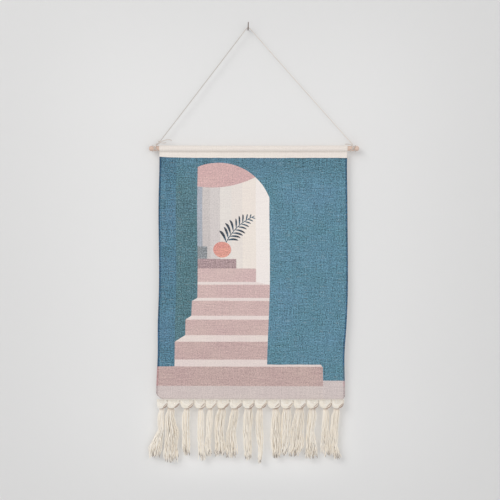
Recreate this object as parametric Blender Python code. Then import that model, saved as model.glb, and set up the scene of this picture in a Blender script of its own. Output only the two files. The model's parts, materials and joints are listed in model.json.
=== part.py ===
"""Tapestry wall hanging: a cloth panel with a row of knotted tassels, on a wooden dowel and a cord.

The origin is the top of the cord's bend, where a nail in the wall holds it. X runs along the dowel,
-Y is the front and +Z is up. All sizes are in metres.
"""

import math
from dataclasses import dataclass

import bmesh
import bpy
from mathutils import Vector

CLOTH_WIDTH = 0.450

# Dowel
DOWEL_OVERHANG = 0.025  # how far half the dowel reaches past half the cloth
DOWEL_LENGTH = CLOTH_WIDTH + 2 * DOWEL_OVERHANG
DOWEL_DIAMETER = 0.012
DOWEL_END_ROUNDING = 0.0045
DOWEL_END_ANGLES = (80, 60, 40, 20, 0)  # rings of the rounded end, in degrees
DOWEL_SHIFT = 0.0145  # middle of the dowel, to the right of the nail
HANG_DROP = 0.2876  # nail to the dowel's axis

# Cloth
CLOTH_DROP = 0.598  # dowel's axis to the cloth's bottom edge
CLOTH_THICKNESS = 0.002
CLOTH_SHIFT = -0.002  # middle of the cloth's top, from the middle of the dowel
CLOTH_LEAN = -0.0065  # how far the bottom edge hangs to one side of the top
CORNER_RADIUS = 0.008
POCKET_PLY = 0.0011  # thickness of the cloth round the dowel
POCKET_EASE = 0.0005  # room between the dowel and its pocket
POCKET_TAIL = 0.0029  # from the pocket's round underside to its seam
POCKET_WRAP = 50  # degrees below the axis where the cloth leaves its round for the seam
SEAM_SPREAD = 10  # half the seam's share of the pocket's inside, in degrees
STAVES = ("back", "back_top", "front_top", "front")  # the pocket's round, in strips along the dowel

# Cord, and the hitch that ties it to each end of the dowel
CORD_DIAMETER = 0.0022
HITCH_INSET = 0.0085  # dowel's end to the hitch's outer turn
HITCH_SPACING = 0.0125  # outer turn to inner turn
HITCH_START = math.radians(-90)  # the crossing strand's ends, from straight up towards the front
HITCH_END = math.radians(70)
CORD_KNOT_SIZE = (0.0060, 0.0052, 0.0064)

# Tassels
EDGE_TO_KNOT = 0.0159  # cloth's side edge to the first knot's middle
KNOT_HEIGHT = 0.021
KNOT_DEPTH = 0.015
KNOT_GAP = 0.0008  # between two knots
KNOT_EDGE_INSET = 0.0024  # cloth's side edge to the first knot's side
KNOT_TAPER = 0.8  # how much of a knot's width, squared, is gone at its underside
KNOT_ROUNDING = 2.6  # how late down its height a knot starts to narrow
KNOT_FLAT_SHARE = 0.4  # a knot's depth at its top and underside, as a share of KNOT_DEPTH
KNOT_FULLNESS = 0.7  # how fast it swells between them, 1 for a plain sine
THROAT_RADIUS = 0.005  # rounded top of a skirt, about its hinge
THROAT_GAP = 0.0005  # knot to skirt
THROAT_ANGLES = (75, 50, 25)  # rings of the rounded top, in degrees above the hinge's level
THROAT_SHARES = (0.6, 0.8)  # the throat's shift and width, as shares of those of the skirt's upper station
SKIRT_HALF_DEPTHS = (0.0050, 0.0055, 0.0060, 0.0055, 0.0040)  # from the throat down
SKIRT_STATIONS = (0.0, 0.10, 0.42, 0.76, 1.0)  # shares of the skirt's length

TOUCH_GAP = 0.0003  # between two pieces that touch

# Middle line of the hanging cord, from the left knot over the nail to the right hitch
HANGING_ROUTE = (
    (-0.2081, 0.0, -0.2689),
    (-0.1560, 0.0, -0.2014),
    (-0.1040, 0.0, -0.1335),
    (-0.0520, 0.0, -0.0656),
    (-0.0170, 0.0, -0.0197),
    (-0.0035, 0.0, -0.0020),
    (-0.0018, 0.0, -0.0006),
    (0.0003, 0.0, 0.0),
    (0.0025, 0.0, -0.0005),
    (0.0042, 0.0, -0.0017),
    (0.0180, 0.0, -0.0173),
    (0.0600, 0.0, -0.0649),
    (0.1200, 0.0, -0.1328),
    (0.1850, 0.0, -0.2060),
    (0.2490, 0.0, -0.2778),
)
LEFT_KNOT_CENTRE = (-0.2102, 0.0, -0.2717)
LEFT_STANDING_ROUTE = ((-0.2192, 0.0, -0.2780), (-0.2164, -0.0010, -0.2762), (-0.2135, -0.0015, -0.2742))
LEFT_RETURN_ROUTE = ((-0.2143, 0.0004, -0.2785), (-0.2132, 0.0012, -0.2773), (-0.2121, 0.0015, -0.2758))
LEFT_LONG_TAIL_ROUTE = (
    (-0.2068, -0.0004, -0.2709),
    (-0.2010, -0.0012, -0.2689),
    (-0.1935, -0.0018, -0.2668),
    (-0.1870, -0.0014, -0.2668),
    (-0.1812, -0.0004, -0.2686),
)
LEFT_SHORT_TAIL_ROUTE = (
    (-0.2070, -0.0008, -0.2738),
    (-0.2030, -0.0020, -0.2747),
    (-0.1985, -0.0026, -0.2743),
    (-0.1945, -0.0022, -0.2730),
)
RIGHT_TAIL_ROUTE = (
    (0.2417, -0.0004, -0.2785),
    (0.2385, -0.0016, -0.2776),
    (0.2345, -0.0026, -0.2774),
    (0.2308, -0.0034, -0.2781),
)
CORD_POINT_SPACING = 0.0095
SHORT_CORD_POINT_SPACING = 0.0022


@dataclass(frozen=True)
class Tassel:
    """One hand-tied tassel. The shares are of the knots' pitch, and drop is in metres.

    knot_shift is the knot's distance from its even place. upper, middle, lower and tip each hold the
    skirt's shift from the knot and its width. drop is from the cloth's edge to the ends of the yarns.
    """

    knot_shift: float
    upper: tuple
    middle: tuple
    lower: tuple
    tip: tuple
    drop: float


TASSELS = (
    Tassel(0.00, (-0.15, 0.54), (-0.13, 0.55), (-0.57, 0.96), (-0.70, 0.93), 0.138),
    Tassel(-0.19, (-0.25, 0.77), (-0.06, 1.08), (-0.15, 1.20), (-0.17, 1.18), 0.148),
    Tassel(-0.02, (-0.13, 0.65), (-0.17, 0.61), (-0.09, 0.65), (-0.06, 0.51), 0.132),
    Tassel(0.01, (0.04, 0.51), (0.01, 0.49), (0.05, 0.49), (0.17, 0.50), 0.144),
    Tassel(-0.13, (-0.13, 0.56), (-0.18, 0.46), (-0.29, 0.46), (-0.13, 0.53), 0.134),
    Tassel(-0.16, (-0.21, 0.81), (-0.35, 0.77), (-0.26, 0.80), (-0.39, 0.80), 0.135),
    Tassel(-0.14, (-0.17, 0.73), (-0.38, 0.69), (-0.37, 0.89), (-0.35, 1.00), 0.139),
    Tassel(-0.16, (0.00, 0.85), (-0.09, 0.72), (-0.06, 0.65), (-0.02, 0.51), 0.144),
    Tassel(-0.20, (-0.09, 0.59), (-0.09, 0.63), (0.00, 0.33), (-0.06, 0.29), 0.150),
    Tassel(-0.13, (0.17, 0.72), (0.09, 0.86), (0.17, 0.77), (0.21, 0.61), 0.138),
    Tassel(-0.09, (-0.02, 0.81), (-0.12, 0.71), (-0.16, 0.54), (-0.23, 0.41), 0.132),
    Tassel(-0.04, (-0.08, 0.85), (-0.25, 1.04), (-0.27, 1.20), (-0.55, 0.96), 0.135),
    Tassel(-0.06, (-0.02, 0.81), (-0.18, 0.65), (-0.10, 0.97), (-0.10, 1.14), 0.140),
    Tassel(-0.04, (0.06, 0.57), (0.02, 0.57), (0.04, 0.92), (0.04, 0.85), 0.135),
    Tassel(0.00, (-0.23, 0.69), (-0.32, 0.64), (-0.27, 0.46), (-0.02, 0.69), 0.141),
)

# Mesh fineness
ROUND_SEGMENTS = 32
TURN_SEGMENTS = 24
STRAND_SIDES = 8
CROSSING_STEPS = 12
STAVE_STEPS = 5
KNOT_SIDES = 12
KNOT_RINGS = 7
SKIRT_SIDES = 10
RINGS_PER_STATION = 2
CORNER_STEPS = 5
SMOOTH_ANGLE = math.radians(40)

# Sizes that follow from the ones above
DOWEL_RADIUS = DOWEL_DIAMETER / 2
CORD_RADIUS = CORD_DIAMETER / 2
DOWEL_Z = -HANG_DROP
DOWEL_LEFT = DOWEL_SHIFT - DOWEL_LENGTH / 2
DOWEL_RIGHT = DOWEL_SHIFT + DOWEL_LENGTH / 2
TURN_RADIUS = DOWEL_RADIUS + TOUCH_GAP + CORD_RADIUS
POCKET_BORE = DOWEL_RADIUS + POCKET_EASE
POCKET_RADIUS = POCKET_BORE + POCKET_PLY
SEAM_DEPTH = POCKET_RADIUS + POCKET_TAIL
CLOTH_TOP_MIDDLE = DOWEL_SHIFT + CLOTH_SHIFT
CLOTH_BOTTOM_MIDDLE = CLOTH_TOP_MIDDLE + CLOTH_LEAN
PANEL_TOP = -SEAM_DEPTH - TOUCH_GAP
KNOT_TOP_Z = DOWEL_Z - CLOTH_DROP - TOUCH_GAP
KNOT_BOTTOM_Z = KNOT_TOP_Z - KNOT_HEIGHT
HINGE_Z = KNOT_BOTTOM_Z - THROAT_GAP - THROAT_RADIUS
KNOT_PITCH = (CLOTH_WIDTH - 2 * EDGE_TO_KNOT) / (len(TASSELS) - 1)

# Finishes: colour, roughness
WOOD = ((0.60, 0.45, 0.36), 0.60)
CORD_COTTON = ((0.66, 0.61, 0.55), 0.90)
CREAM_CLOTH = ((0.78, 0.71, 0.64), 0.92)
PRINTED_CLOTH = ((0.17, 0.26, 0.31), 0.92)
TASSEL_COTTON = ((0.76, 0.68, 0.57), 0.95)


def clear_scene():
    """Removes whatever the scene holds."""
    for thing in list(bpy.data.objects):
        bpy.data.objects.remove(thing)


def finish_for(name, look):
    """A Principled material of one colour for one piece."""
    colour, roughness = look
    material = bpy.data.materials.new(name)
    material.use_nodes = True
    shader = material.node_tree.nodes["Principled BSDF"]
    shader.inputs["Base Color"].default_value = (*colour, 1.0)
    shader.inputs["Roughness"].default_value = roughness
    shader.inputs["Metallic"].default_value = 0.0
    return material


def pivot(name, place, parent=None):
    """An empty on a joint's axis."""
    thing = bpy.data.objects.new(name, None)
    thing.empty_display_size = 0.01
    return set_in_place(thing, place, parent)


def set_in_place(thing, place, parent):
    """Links an object, with its origin at a world place, under a parent that is only moved."""
    bpy.context.scene.collection.objects.link(thing)
    thing.parent = parent
    offset = Vector(parent["place"]) if parent else Vector((0, 0, 0))
    thing.location = Vector(place) - offset
    thing["place"] = tuple(place)
    return thing


def add_solid(name, shape, place, parent, look):
    """Turns a bmesh, drawn about its own origin, into a named object at a place."""
    bmesh.ops.recalc_face_normals(shape, faces=shape.faces)
    mesh = bpy.data.meshes.new(name)
    shape.to_mesh(mesh)
    shape.free()
    mesh.shade_smooth()
    mesh.set_sharp_from_angle(angle=SMOOTH_ANGLE)
    mesh.materials.append(finish_for(name, look))
    return set_in_place(bpy.data.objects.new(name, mesh), place, parent)


def loft(rings, closed=False):
    """A solid skin over rings of as many points each, capped at its ends or joined end to end."""
    shape = bmesh.new()
    loops = [[shape.verts.new(point) for point in ring] for ring in rings]
    pairs = list(zip(loops, loops[1:]))
    if closed:
        pairs.append((loops[-1], loops[0]))
    else:
        shape.faces.new(loops[0])
        shape.faces.new(list(reversed(loops[-1])))
    for first, second in pairs:
        for i in range(len(first)):
            j = (i + 1) % len(first)
            shape.faces.new((first[i], first[j], second[j], second[i]))
    return shape


def ellipse(middle_x, half_width, half_depth, height, sides):
    """A level ring of points."""
    turns = [2 * math.pi * i / sides for i in range(sides)]
    return [(middle_x + half_width * math.cos(a), half_depth * math.sin(a), height) for a in turns]


def smooth_line(route, spacing):
    """Points along the smooth curve that passes through a route's own points."""
    points = [Vector(p) for p in route]
    points = [2 * points[0] - points[1], *points, 2 * points[-1] - points[-2]]
    line = []
    for a, b, c, d in zip(points, points[1:], points[2:], points[3:]):
        knots = [0.0]
        for start, end in ((a, b), (b, c), (c, d)):
            knots.append(knots[-1] + math.sqrt((end - start).length))
        steps = max(1, round((c - b).length / spacing))
        for step in range(steps):
            t = knots[1] + (knots[2] - knots[1]) * step / steps
            line.append(curve_point((a, b, c, d), knots, t))
    line.append(points[-2])
    return line


def curve_point(corners, knots, t):
    """A point of a centripetal Catmull-Rom curve, by repeated mixing of its four corners."""
    level = list(corners)
    for row in (((0, 1), (1, 2), (2, 3)), ((0, 2), (1, 3)), ((1, 2),)):
        shares = [(t - knots[low]) / (knots[high] - knots[low]) for low, high in row]
        level = [first.lerp(second, share) for first, second, share in zip(level, level[1:], shares)]
    return level[0]


def add_strand(name, line, parent):
    """A length of cord: a round tube along a line of world points, with its ends closed."""
    curve = bpy.data.curves.new(name, "CURVE")
    curve.dimensions = "3D"
    curve.bevel_depth = CORD_RADIUS
    curve.bevel_resolution = 2
    curve.use_fill_caps = True
    spline = curve.splines.new("POLY")
    spline.points.add(len(line) - 1)
    start = Vector(line[0])
    for point, place in zip(spline.points, line):
        point.co = (*(Vector(place) - start), 1.0)
    curve.materials.append(finish_for(name, CORD_COTTON))
    return set_in_place(bpy.data.objects.new(name, curve), start, parent)


def add_dowel():
    """The wooden rod, turned about its axis, with rounded ends."""
    half = DOWEL_LENGTH / 2
    quarter = [math.radians(a) for a in DOWEL_END_ANGLES]
    neck = DOWEL_RADIUS - DOWEL_END_ROUNDING
    end = [
        (half - DOWEL_END_ROUNDING * (1 - math.sin(a)), neck + DOWEL_END_ROUNDING * math.cos(a))
        for a in quarter
    ]
    profile = [(-x, r) for x, r in end] + [(x, r) for x, r in reversed(end)]
    turns = [2 * math.pi * i / ROUND_SEGMENTS for i in range(ROUND_SEGMENTS)]
    rings = [[(x, r * math.cos(a), r * math.sin(a)) for a in turns] for x, r in profile]
    axis = pivot("dowel_axis", (DOWEL_SHIFT, 0.0, DOWEL_Z))
    add_solid("dowel", loft(rings), (DOWEL_SHIFT, 0.0, DOWEL_Z), axis, WOOD)


def add_hitch(side, outer, inner, parent):
    """The cord's fastening at one end of the dowel: two turns, and the strand that crosses between."""
    for label, x in (("outer", outer), ("inner", inner)):
        around = [2 * math.pi * i / TURN_SEGMENTS for i in range(TURN_SEGMENTS)]
        section = [2 * math.pi * i / STRAND_SIDES for i in range(STRAND_SIDES)]
        rings = []
        for a in around:
            reach = [(CORD_RADIUS * math.cos(b), TURN_RADIUS + CORD_RADIUS * math.sin(b)) for b in section]
            rings.append([(along, r * math.cos(a), r * math.sin(a)) for along, r in reach])
        add_solid(f"{side}_hitch_{label}_turn", loft(rings, True), (x, 0.0, DOWEL_Z), parent, CORD_COTTON)
    inward = math.copysign(1.0, inner - outer)
    clear = CORD_DIAMETER + 2 * TOUCH_GAP
    first, last = outer + inward * clear, inner - inward * clear
    line = []
    for step in range(CROSSING_STEPS + 1):
        share = step / CROSSING_STEPS
        a = HITCH_START + (HITCH_END - HITCH_START) * share
        x = first + (last - first) * share
        line.append((x, -TURN_RADIUS * math.sin(a), DOWEL_Z + TURN_RADIUS * math.cos(a)))
    add_strand(f"{side}_hitch_crossing", line, parent)


def add_hanger():
    """The cord: its long middle, the two hitches, the left knot and the short tails."""
    top = pivot("hanger_top", (0.0, 0.0, 0.0))
    add_strand("hanging_cord", smooth_line(HANGING_ROUTE, CORD_POINT_SPACING), top)
    left_outer = DOWEL_LEFT + HITCH_INSET
    right_outer = DOWEL_RIGHT - HITCH_INSET
    add_hitch("left", left_outer, left_outer + HITCH_SPACING, top)
    add_hitch("right", right_outer, right_outer - HITCH_SPACING, top)
    ball = bmesh.new()
    bmesh.ops.create_uvsphere(ball, u_segments=KNOT_SIDES, v_segments=8, radius=0.5)
    bmesh.ops.scale(ball, vec=CORD_KNOT_SIZE, verts=ball.verts)
    add_solid("left_cord_knot", ball, LEFT_KNOT_CENTRE, top, CORD_COTTON)
    for name, route in (
        ("left_cord_standing_end", LEFT_STANDING_ROUTE),
        ("left_cord_return", LEFT_RETURN_ROUTE),
        ("left_cord_long_tail", LEFT_LONG_TAIL_ROUTE),
        ("left_cord_short_tail", LEFT_SHORT_TAIL_ROUTE),
        ("right_cord_tail", RIGHT_TAIL_ROUTE),
    ):
        add_strand(name, smooth_line(route, SHORT_CORD_POINT_SPACING), top)


def add_pocket(parent):
    """The cloth's cream top, folded round the dowel: its round in staves, and the seam that closes it."""
    wrap, cut = math.radians(POCKET_WRAP), TOUCH_GAP / 2 / POCKET_BORE
    span = (math.pi + 2 * wrap) / len(STAVES)
    for i, name in enumerate(STAVES):
        start, end = i * span - wrap + cut, (i + 1) * span - wrap - cut
        angles = [start + (end - start) * step / STAVE_STEPS for step in range(STAVE_STEPS + 1)]
        outer = [(POCKET_RADIUS * math.cos(a), POCKET_RADIUS * math.sin(a)) for a in angles]
        add_strip(f"header_{name}", angles, outer, parent)
    start, end = math.pi + wrap + cut, 2 * math.pi - wrap - cut
    spread = math.radians(SEAM_SPREAD)
    angles = [start, 1.5 * math.pi - spread, 1.5 * math.pi + spread, end]
    outer = [(POCKET_RADIUS * math.cos(a), POCKET_RADIUS * math.sin(a)) for a in (start, end)]
    outer[1:1] = [(-POCKET_PLY, -SEAM_DEPTH), (POCKET_PLY, -SEAM_DEPTH)]
    add_strip("header_seam", angles, outer, parent)


def add_strip(name, angles, outer, parent):
    """A strip of the pocket, as long as the cloth is wide, from the bore out to a line of points."""
    half, rings = CLOTH_WIDTH / 2, []
    for a, (y, z) in zip(angles, outer):
        in_y, in_z = POCKET_BORE * math.cos(a), POCKET_BORE * math.sin(a)
        rings.append([(-half, in_y, in_z), (-half, y, z), (half, y, z), (half, in_y, in_z)])
    add_solid(name, loft(rings), (CLOTH_TOP_MIDDLE, 0.0, DOWEL_Z), parent, CREAM_CLOTH)


def add_panel(parent):
    """The printed cloth below the seam: a thin slab that hangs a little askew."""
    half, bottom = CLOTH_WIDTH / 2, -CLOTH_DROP
    outline = [(half, PANEL_TOP), (-half, PANEL_TOP)]
    for side, first in ((-1, 180), (1, 270)):
        middle = (CLOTH_LEAN + side * (half - CORNER_RADIUS), bottom + CORNER_RADIUS)
        for step in range(CORNER_STEPS + 1):
            a = math.radians(first + 90 * step / CORNER_STEPS)
            outline.append((middle[0] + CORNER_RADIUS * math.cos(a), middle[1] + CORNER_RADIUS * math.sin(a)))
    rings = [[(x, y, z) for x, z in outline] for y in (-CLOTH_THICKNESS / 2, CLOTH_THICKNESS / 2)]
    place = (CLOTH_TOP_MIDDLE, 0.0, DOWEL_Z)
    add_solid("tapestry_panel", loft(rings), place, parent, PRINTED_CLOTH)


def knot_places():
    """The X of each knot's middle."""
    first = CLOTH_BOTTOM_MIDDLE - CLOTH_WIDTH / 2 + EDGE_TO_KNOT
    return [first + KNOT_PITCH * (i + tassel.knot_shift) for i, tassel in enumerate(TASSELS)]


def add_knot(name, middle, left, right, parent):
    """An overhand knot in a bundle of warp yarns, as wide as its stretch of the cloth's edge."""
    rings = []
    for i in range(KNOT_RINGS):
        share = i / (KNOT_RINGS - 1)
        spread = math.sqrt(1 - KNOT_TAPER * share**KNOT_ROUNDING)
        swell = abs(math.sin(math.pi * share)) ** KNOT_FULLNESS
        half_depth = KNOT_DEPTH / 2 * (KNOT_FLAT_SHARE + (1 - KNOT_FLAT_SHARE) * swell)
        x = (right - left) / 2 * spread
        half_width = (right + left) / 2 * spread
        rings.append(ellipse(x, half_width, half_depth, -KNOT_HEIGHT * share, KNOT_SIDES))
    shape = bmesh.new()
    skin = bmesh.ops.convex_hull(shape, input=[shape.verts.new(point) for ring in rings for point in ring])
    bmesh.ops.delete(shape, geom=skin["geom_interior"] + skin["geom_unused"], context="VERTS")
    add_solid(name, shape, (middle, 0.0, KNOT_TOP_Z), parent, TASSEL_COTTON)


def skirt_station(stations, share):
    """The skirt's shift, half width and half depth at a share of its length."""
    for (low, start), (high, end) in zip(stations, stations[1:]):
        if share <= high:
            t = (share - low) / (high - low)
            t = t * t * (3 - 2 * t)
            return [a + (b - a) * t for a, b in zip(start, end)]
    return stations[-1][1]


def add_skirt(name, tassel, middle, parent):
    """The loose yarns below a knot, hinged at a throat that is rounded about the hinge's axis."""
    throat = [share * value for share, value in zip(THROAT_SHARES, tassel.upper)]
    shapes = (throat, tassel.upper, tassel.middle, tassel.lower, tassel.tip)
    stations = [
        (share, (shift * KNOT_PITCH, width * KNOT_PITCH / 2, depth))
        for share, (shift, width), depth in zip(SKIRT_STATIONS, shapes, SKIRT_HALF_DEPTHS)
    ]
    x, half_width, _ = stations[0][1]
    rings = []
    for degrees in THROAT_ANGLES:
        a = math.radians(degrees)
        depth, height = THROAT_RADIUS * math.cos(a), THROAT_RADIUS * math.sin(a)
        rings.append(ellipse(x, half_width - height / 4, depth, height, SKIRT_SIDES))
    length = HINGE_Z - (DOWEL_Z - CLOTH_DROP - tassel.drop)
    for low, high in zip(SKIRT_STATIONS, SKIRT_STATIONS[1:]):
        for step in range(RINGS_PER_STATION):
            share = low + (high - low) * step / RINGS_PER_STATION
            rings.append(ellipse(*skirt_station(stations, share), -length * share, SKIRT_SIDES))
    rings.append(ellipse(*stations[-1][1], -length, SKIRT_SIDES))
    add_solid(name, loft(rings), (middle, 0.0, HINGE_Z), parent, TASSEL_COTTON)


def add_banner():
    """The cloth, from its pocket to its tassels, on a pivot on the dowel's axis."""
    swing = pivot("banner_axis", (DOWEL_SHIFT, 0.0, DOWEL_Z))
    add_pocket(swing)
    add_panel(swing)
    places = knot_places()
    splits = [(a + b) / 2 for a, b in zip(places, places[1:])]
    reach = EDGE_TO_KNOT - KNOT_EDGE_INSET
    starts = [places[0] - reach, *(split + KNOT_GAP / 2 for split in splits)]
    ends = [*(split - KNOT_GAP / 2 for split in splits), places[-1] + reach]
    for i, tassel in enumerate(TASSELS):
        middle = places[i]
        add_knot(f"knot_{i + 1:02d}", middle, middle - starts[i], ends[i] - middle, swing)
        add_skirt(f"tassel_{i + 1:02d}", tassel, middle, swing)


clear_scene()
add_dowel()
add_hanger()
add_banner()
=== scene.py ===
"""Looks of the tapestry wall hanging: its cloth, cord, dowel, knots and tassels, and their finishes.

Sizes are in metres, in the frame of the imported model: X runs along the dowel, -Y is the front and +Z is
up. The drawing printed on the cloth is in millimetres across and down the flat cloth.
"""

import json
import logging
import math
from dataclasses import dataclass
from enum import Enum
from typing import ClassVar

import bpy
import numpy as np
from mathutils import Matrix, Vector


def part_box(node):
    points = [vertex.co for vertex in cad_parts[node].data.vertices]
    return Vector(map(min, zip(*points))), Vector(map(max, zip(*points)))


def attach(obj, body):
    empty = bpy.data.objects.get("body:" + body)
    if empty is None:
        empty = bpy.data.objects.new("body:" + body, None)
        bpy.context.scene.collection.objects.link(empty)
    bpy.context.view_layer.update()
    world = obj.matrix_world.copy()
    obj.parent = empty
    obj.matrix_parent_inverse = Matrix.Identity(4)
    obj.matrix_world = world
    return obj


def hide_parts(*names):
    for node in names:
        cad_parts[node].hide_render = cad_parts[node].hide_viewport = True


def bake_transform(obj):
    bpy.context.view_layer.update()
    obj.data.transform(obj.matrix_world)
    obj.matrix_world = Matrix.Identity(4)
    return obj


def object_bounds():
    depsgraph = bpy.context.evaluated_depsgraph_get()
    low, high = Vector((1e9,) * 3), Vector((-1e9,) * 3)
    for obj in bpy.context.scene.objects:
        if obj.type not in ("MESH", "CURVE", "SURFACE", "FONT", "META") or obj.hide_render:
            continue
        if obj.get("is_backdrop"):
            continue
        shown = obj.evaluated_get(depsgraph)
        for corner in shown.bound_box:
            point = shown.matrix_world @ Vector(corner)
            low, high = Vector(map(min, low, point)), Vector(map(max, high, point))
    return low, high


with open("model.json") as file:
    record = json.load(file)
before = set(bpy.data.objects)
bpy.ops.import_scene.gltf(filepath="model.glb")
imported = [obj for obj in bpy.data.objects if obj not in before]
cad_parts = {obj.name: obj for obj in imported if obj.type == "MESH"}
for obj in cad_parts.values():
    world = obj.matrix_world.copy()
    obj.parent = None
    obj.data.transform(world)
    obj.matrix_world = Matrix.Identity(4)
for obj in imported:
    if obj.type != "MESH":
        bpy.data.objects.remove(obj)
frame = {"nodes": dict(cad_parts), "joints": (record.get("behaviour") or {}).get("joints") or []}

LOG = logging.getLogger("wall_hanging")
Colour = tuple[float, float, float]
Point = tuple[float, float, float]
SAME_LEVEL = 2e-5  # two points this close in height lie on one level
FULL_TURN = 2 * math.pi
GOLDEN_ANGLE = 2.39996  # turned from one yarn to the next, it spreads them evenly


def tone(red: int, green: int, blue: int) -> Colour:
    """Turns a screen colour, from 0 to 255 a part, into the share of light that it gives back."""
    return tuple(((c / 255 + 0.055) / 1.055) ** 2.4 for c in (red, green, blue))


def ease(share: np.ndarray | float) -> np.ndarray | float:
    """Eases from 0 to 1 with level ends."""
    share = np.clip(share, 0.0, 1.0)
    return share * share * (3 - 2 * share)


# ---------------------------------------------------------------- shader shorthand


class Nodes:
    """A new material's node tree, and the one way in which this script adds nodes to it."""

    def __init__(self, name: str) -> None:
        """Starts an empty tree in a new material.

        Args:
            name: the material's name.
        """
        self.material = bpy.data.materials.new(name)
        self.material.use_nodes = True
        self.tree = self.material.node_tree
        self.tree.nodes.clear()

    def add(self, kind: str, settings: dict | None = None, inputs: dict | None = None) -> bpy.types.Node:
        """Adds a node.

        Args:
            kind: the node's type, without Blender's ShaderNode in front.
            settings: its properties, and a ramp's stops, all set before its sockets.
            inputs: a value or a link for each named or numbered socket.

        Returns:
            The new node.
        """
        node = self.tree.nodes.new("ShaderNode" + kind)
        for name, value in (settings or {}).items():
            if name == "stops":
                self._set_stops(node.color_ramp, value)
            else:
                setattr(node, name, value)
        for key, value in (inputs or {}).items():
            self._feed(node.inputs[key], value)
        return node

    @staticmethod
    def _set_stops(ramp: bpy.types.ColorRamp, stops: list[tuple[float, Colour]]) -> None:
        """Gives a ramp its stops.

        Args:
            ramp: the ramp.
            stops: the place of each, from 0 to 1, and its colour.
        """
        while len(ramp.elements) < len(stops):
            ramp.elements.new(1.0)
        for element, (place, colour) in zip(ramp.elements, stops):
            element.position = place
            element.color = (*colour, 1.0)

    def _feed(self, socket: bpy.types.NodeSocket, value: object) -> None:
        """Links a socket to a value's own, or sets it.

        Args:
            socket: the socket to feed.
            value: a Value, another socket, a number, a colour or a place.
        """
        if isinstance(value, Value):
            value = value.socket
        if isinstance(value, bpy.types.NodeSocket):
            self.tree.links.new(value, socket)
        elif socket.type == "RGBA" and len(value) == 3:
            socket.default_value = (*value, 1.0)
        else:
            socket.default_value = value

    def value(self, socket: bpy.types.NodeSocket) -> "Value":
        """Wraps a socket so that it can be used in expressions."""
        return Value(self, socket)

    def fact(self, name: str) -> tuple["Value", "Value", "Value"]:
        """Reads what each point of the mesh holds under a name.

        Args:
            name: the fact's name.

        Returns:
            Its three numbers.
        """
        stored = self.add("Attribute", {"attribute_name": name, "attribute_type": "GEOMETRY"})
        parts = self.add("SeparateXYZ", None, {"Vector": stored.outputs["Vector"]})
        return tuple(self.value(parts.outputs[i]) for i in range(3))

    def place(self, x: object, y: object, z: object = 0.0) -> bpy.types.NodeSocket:
        """Joins three numbers into a place."""
        return self.add("CombineXYZ", None, {"X": x, "Y": y, "Z": z}).outputs[0]

    def noise(self, place: object, detail: float = 2.0, roughness: float = 0.5) -> "Value":
        """Smooth noise about 0.5, with features one unit across at its place."""
        inputs = {"Vector": place, "Scale": 1.0, "Detail": detail, "Roughness": roughness}
        return self.value(self.add("TexNoise", None, inputs).outputs[0])

    def mix(self, share: object, under: object, over: object, kind: str = "MIX") -> bpy.types.NodeSocket:
        """Lays the colour over on the colour under by a share, in this kind of blend."""
        settings = {"data_type": "RGBA", "blend_type": kind}
        return self.add("Mix", settings, {0: share, 6: under, 7: over}).outputs[2]

    def scaled(self, colour: object, by: object) -> bpy.types.NodeSocket:
        """Makes a colour lighter or darker by a number."""
        return self.add("VectorMath", {"operation": "SCALE"}, {0: colour, "Scale": by}).outputs[0]

    def bump(self, height: object, distance: float, strength: float = 1.0) -> bpy.types.NodeSocket:
        """A bumped normal from a height between 0 and 1, and the depth that 1 stands for."""
        inputs = {"Height": height, "Distance": distance, "Strength": strength}
        return self.add("Bump", None, inputs).outputs[0]

    def finish(self, shader: dict) -> bpy.types.Material:
        """Ends the tree in a Principled shader.

        Args:
            shader: the values and links of its sockets.

        Returns:
            The material.
        """
        body = self.add("BsdfPrincipled", None, shader)
        self.add("OutputMaterial", None, {"Surface": body.outputs[0]})
        return self.material


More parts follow.
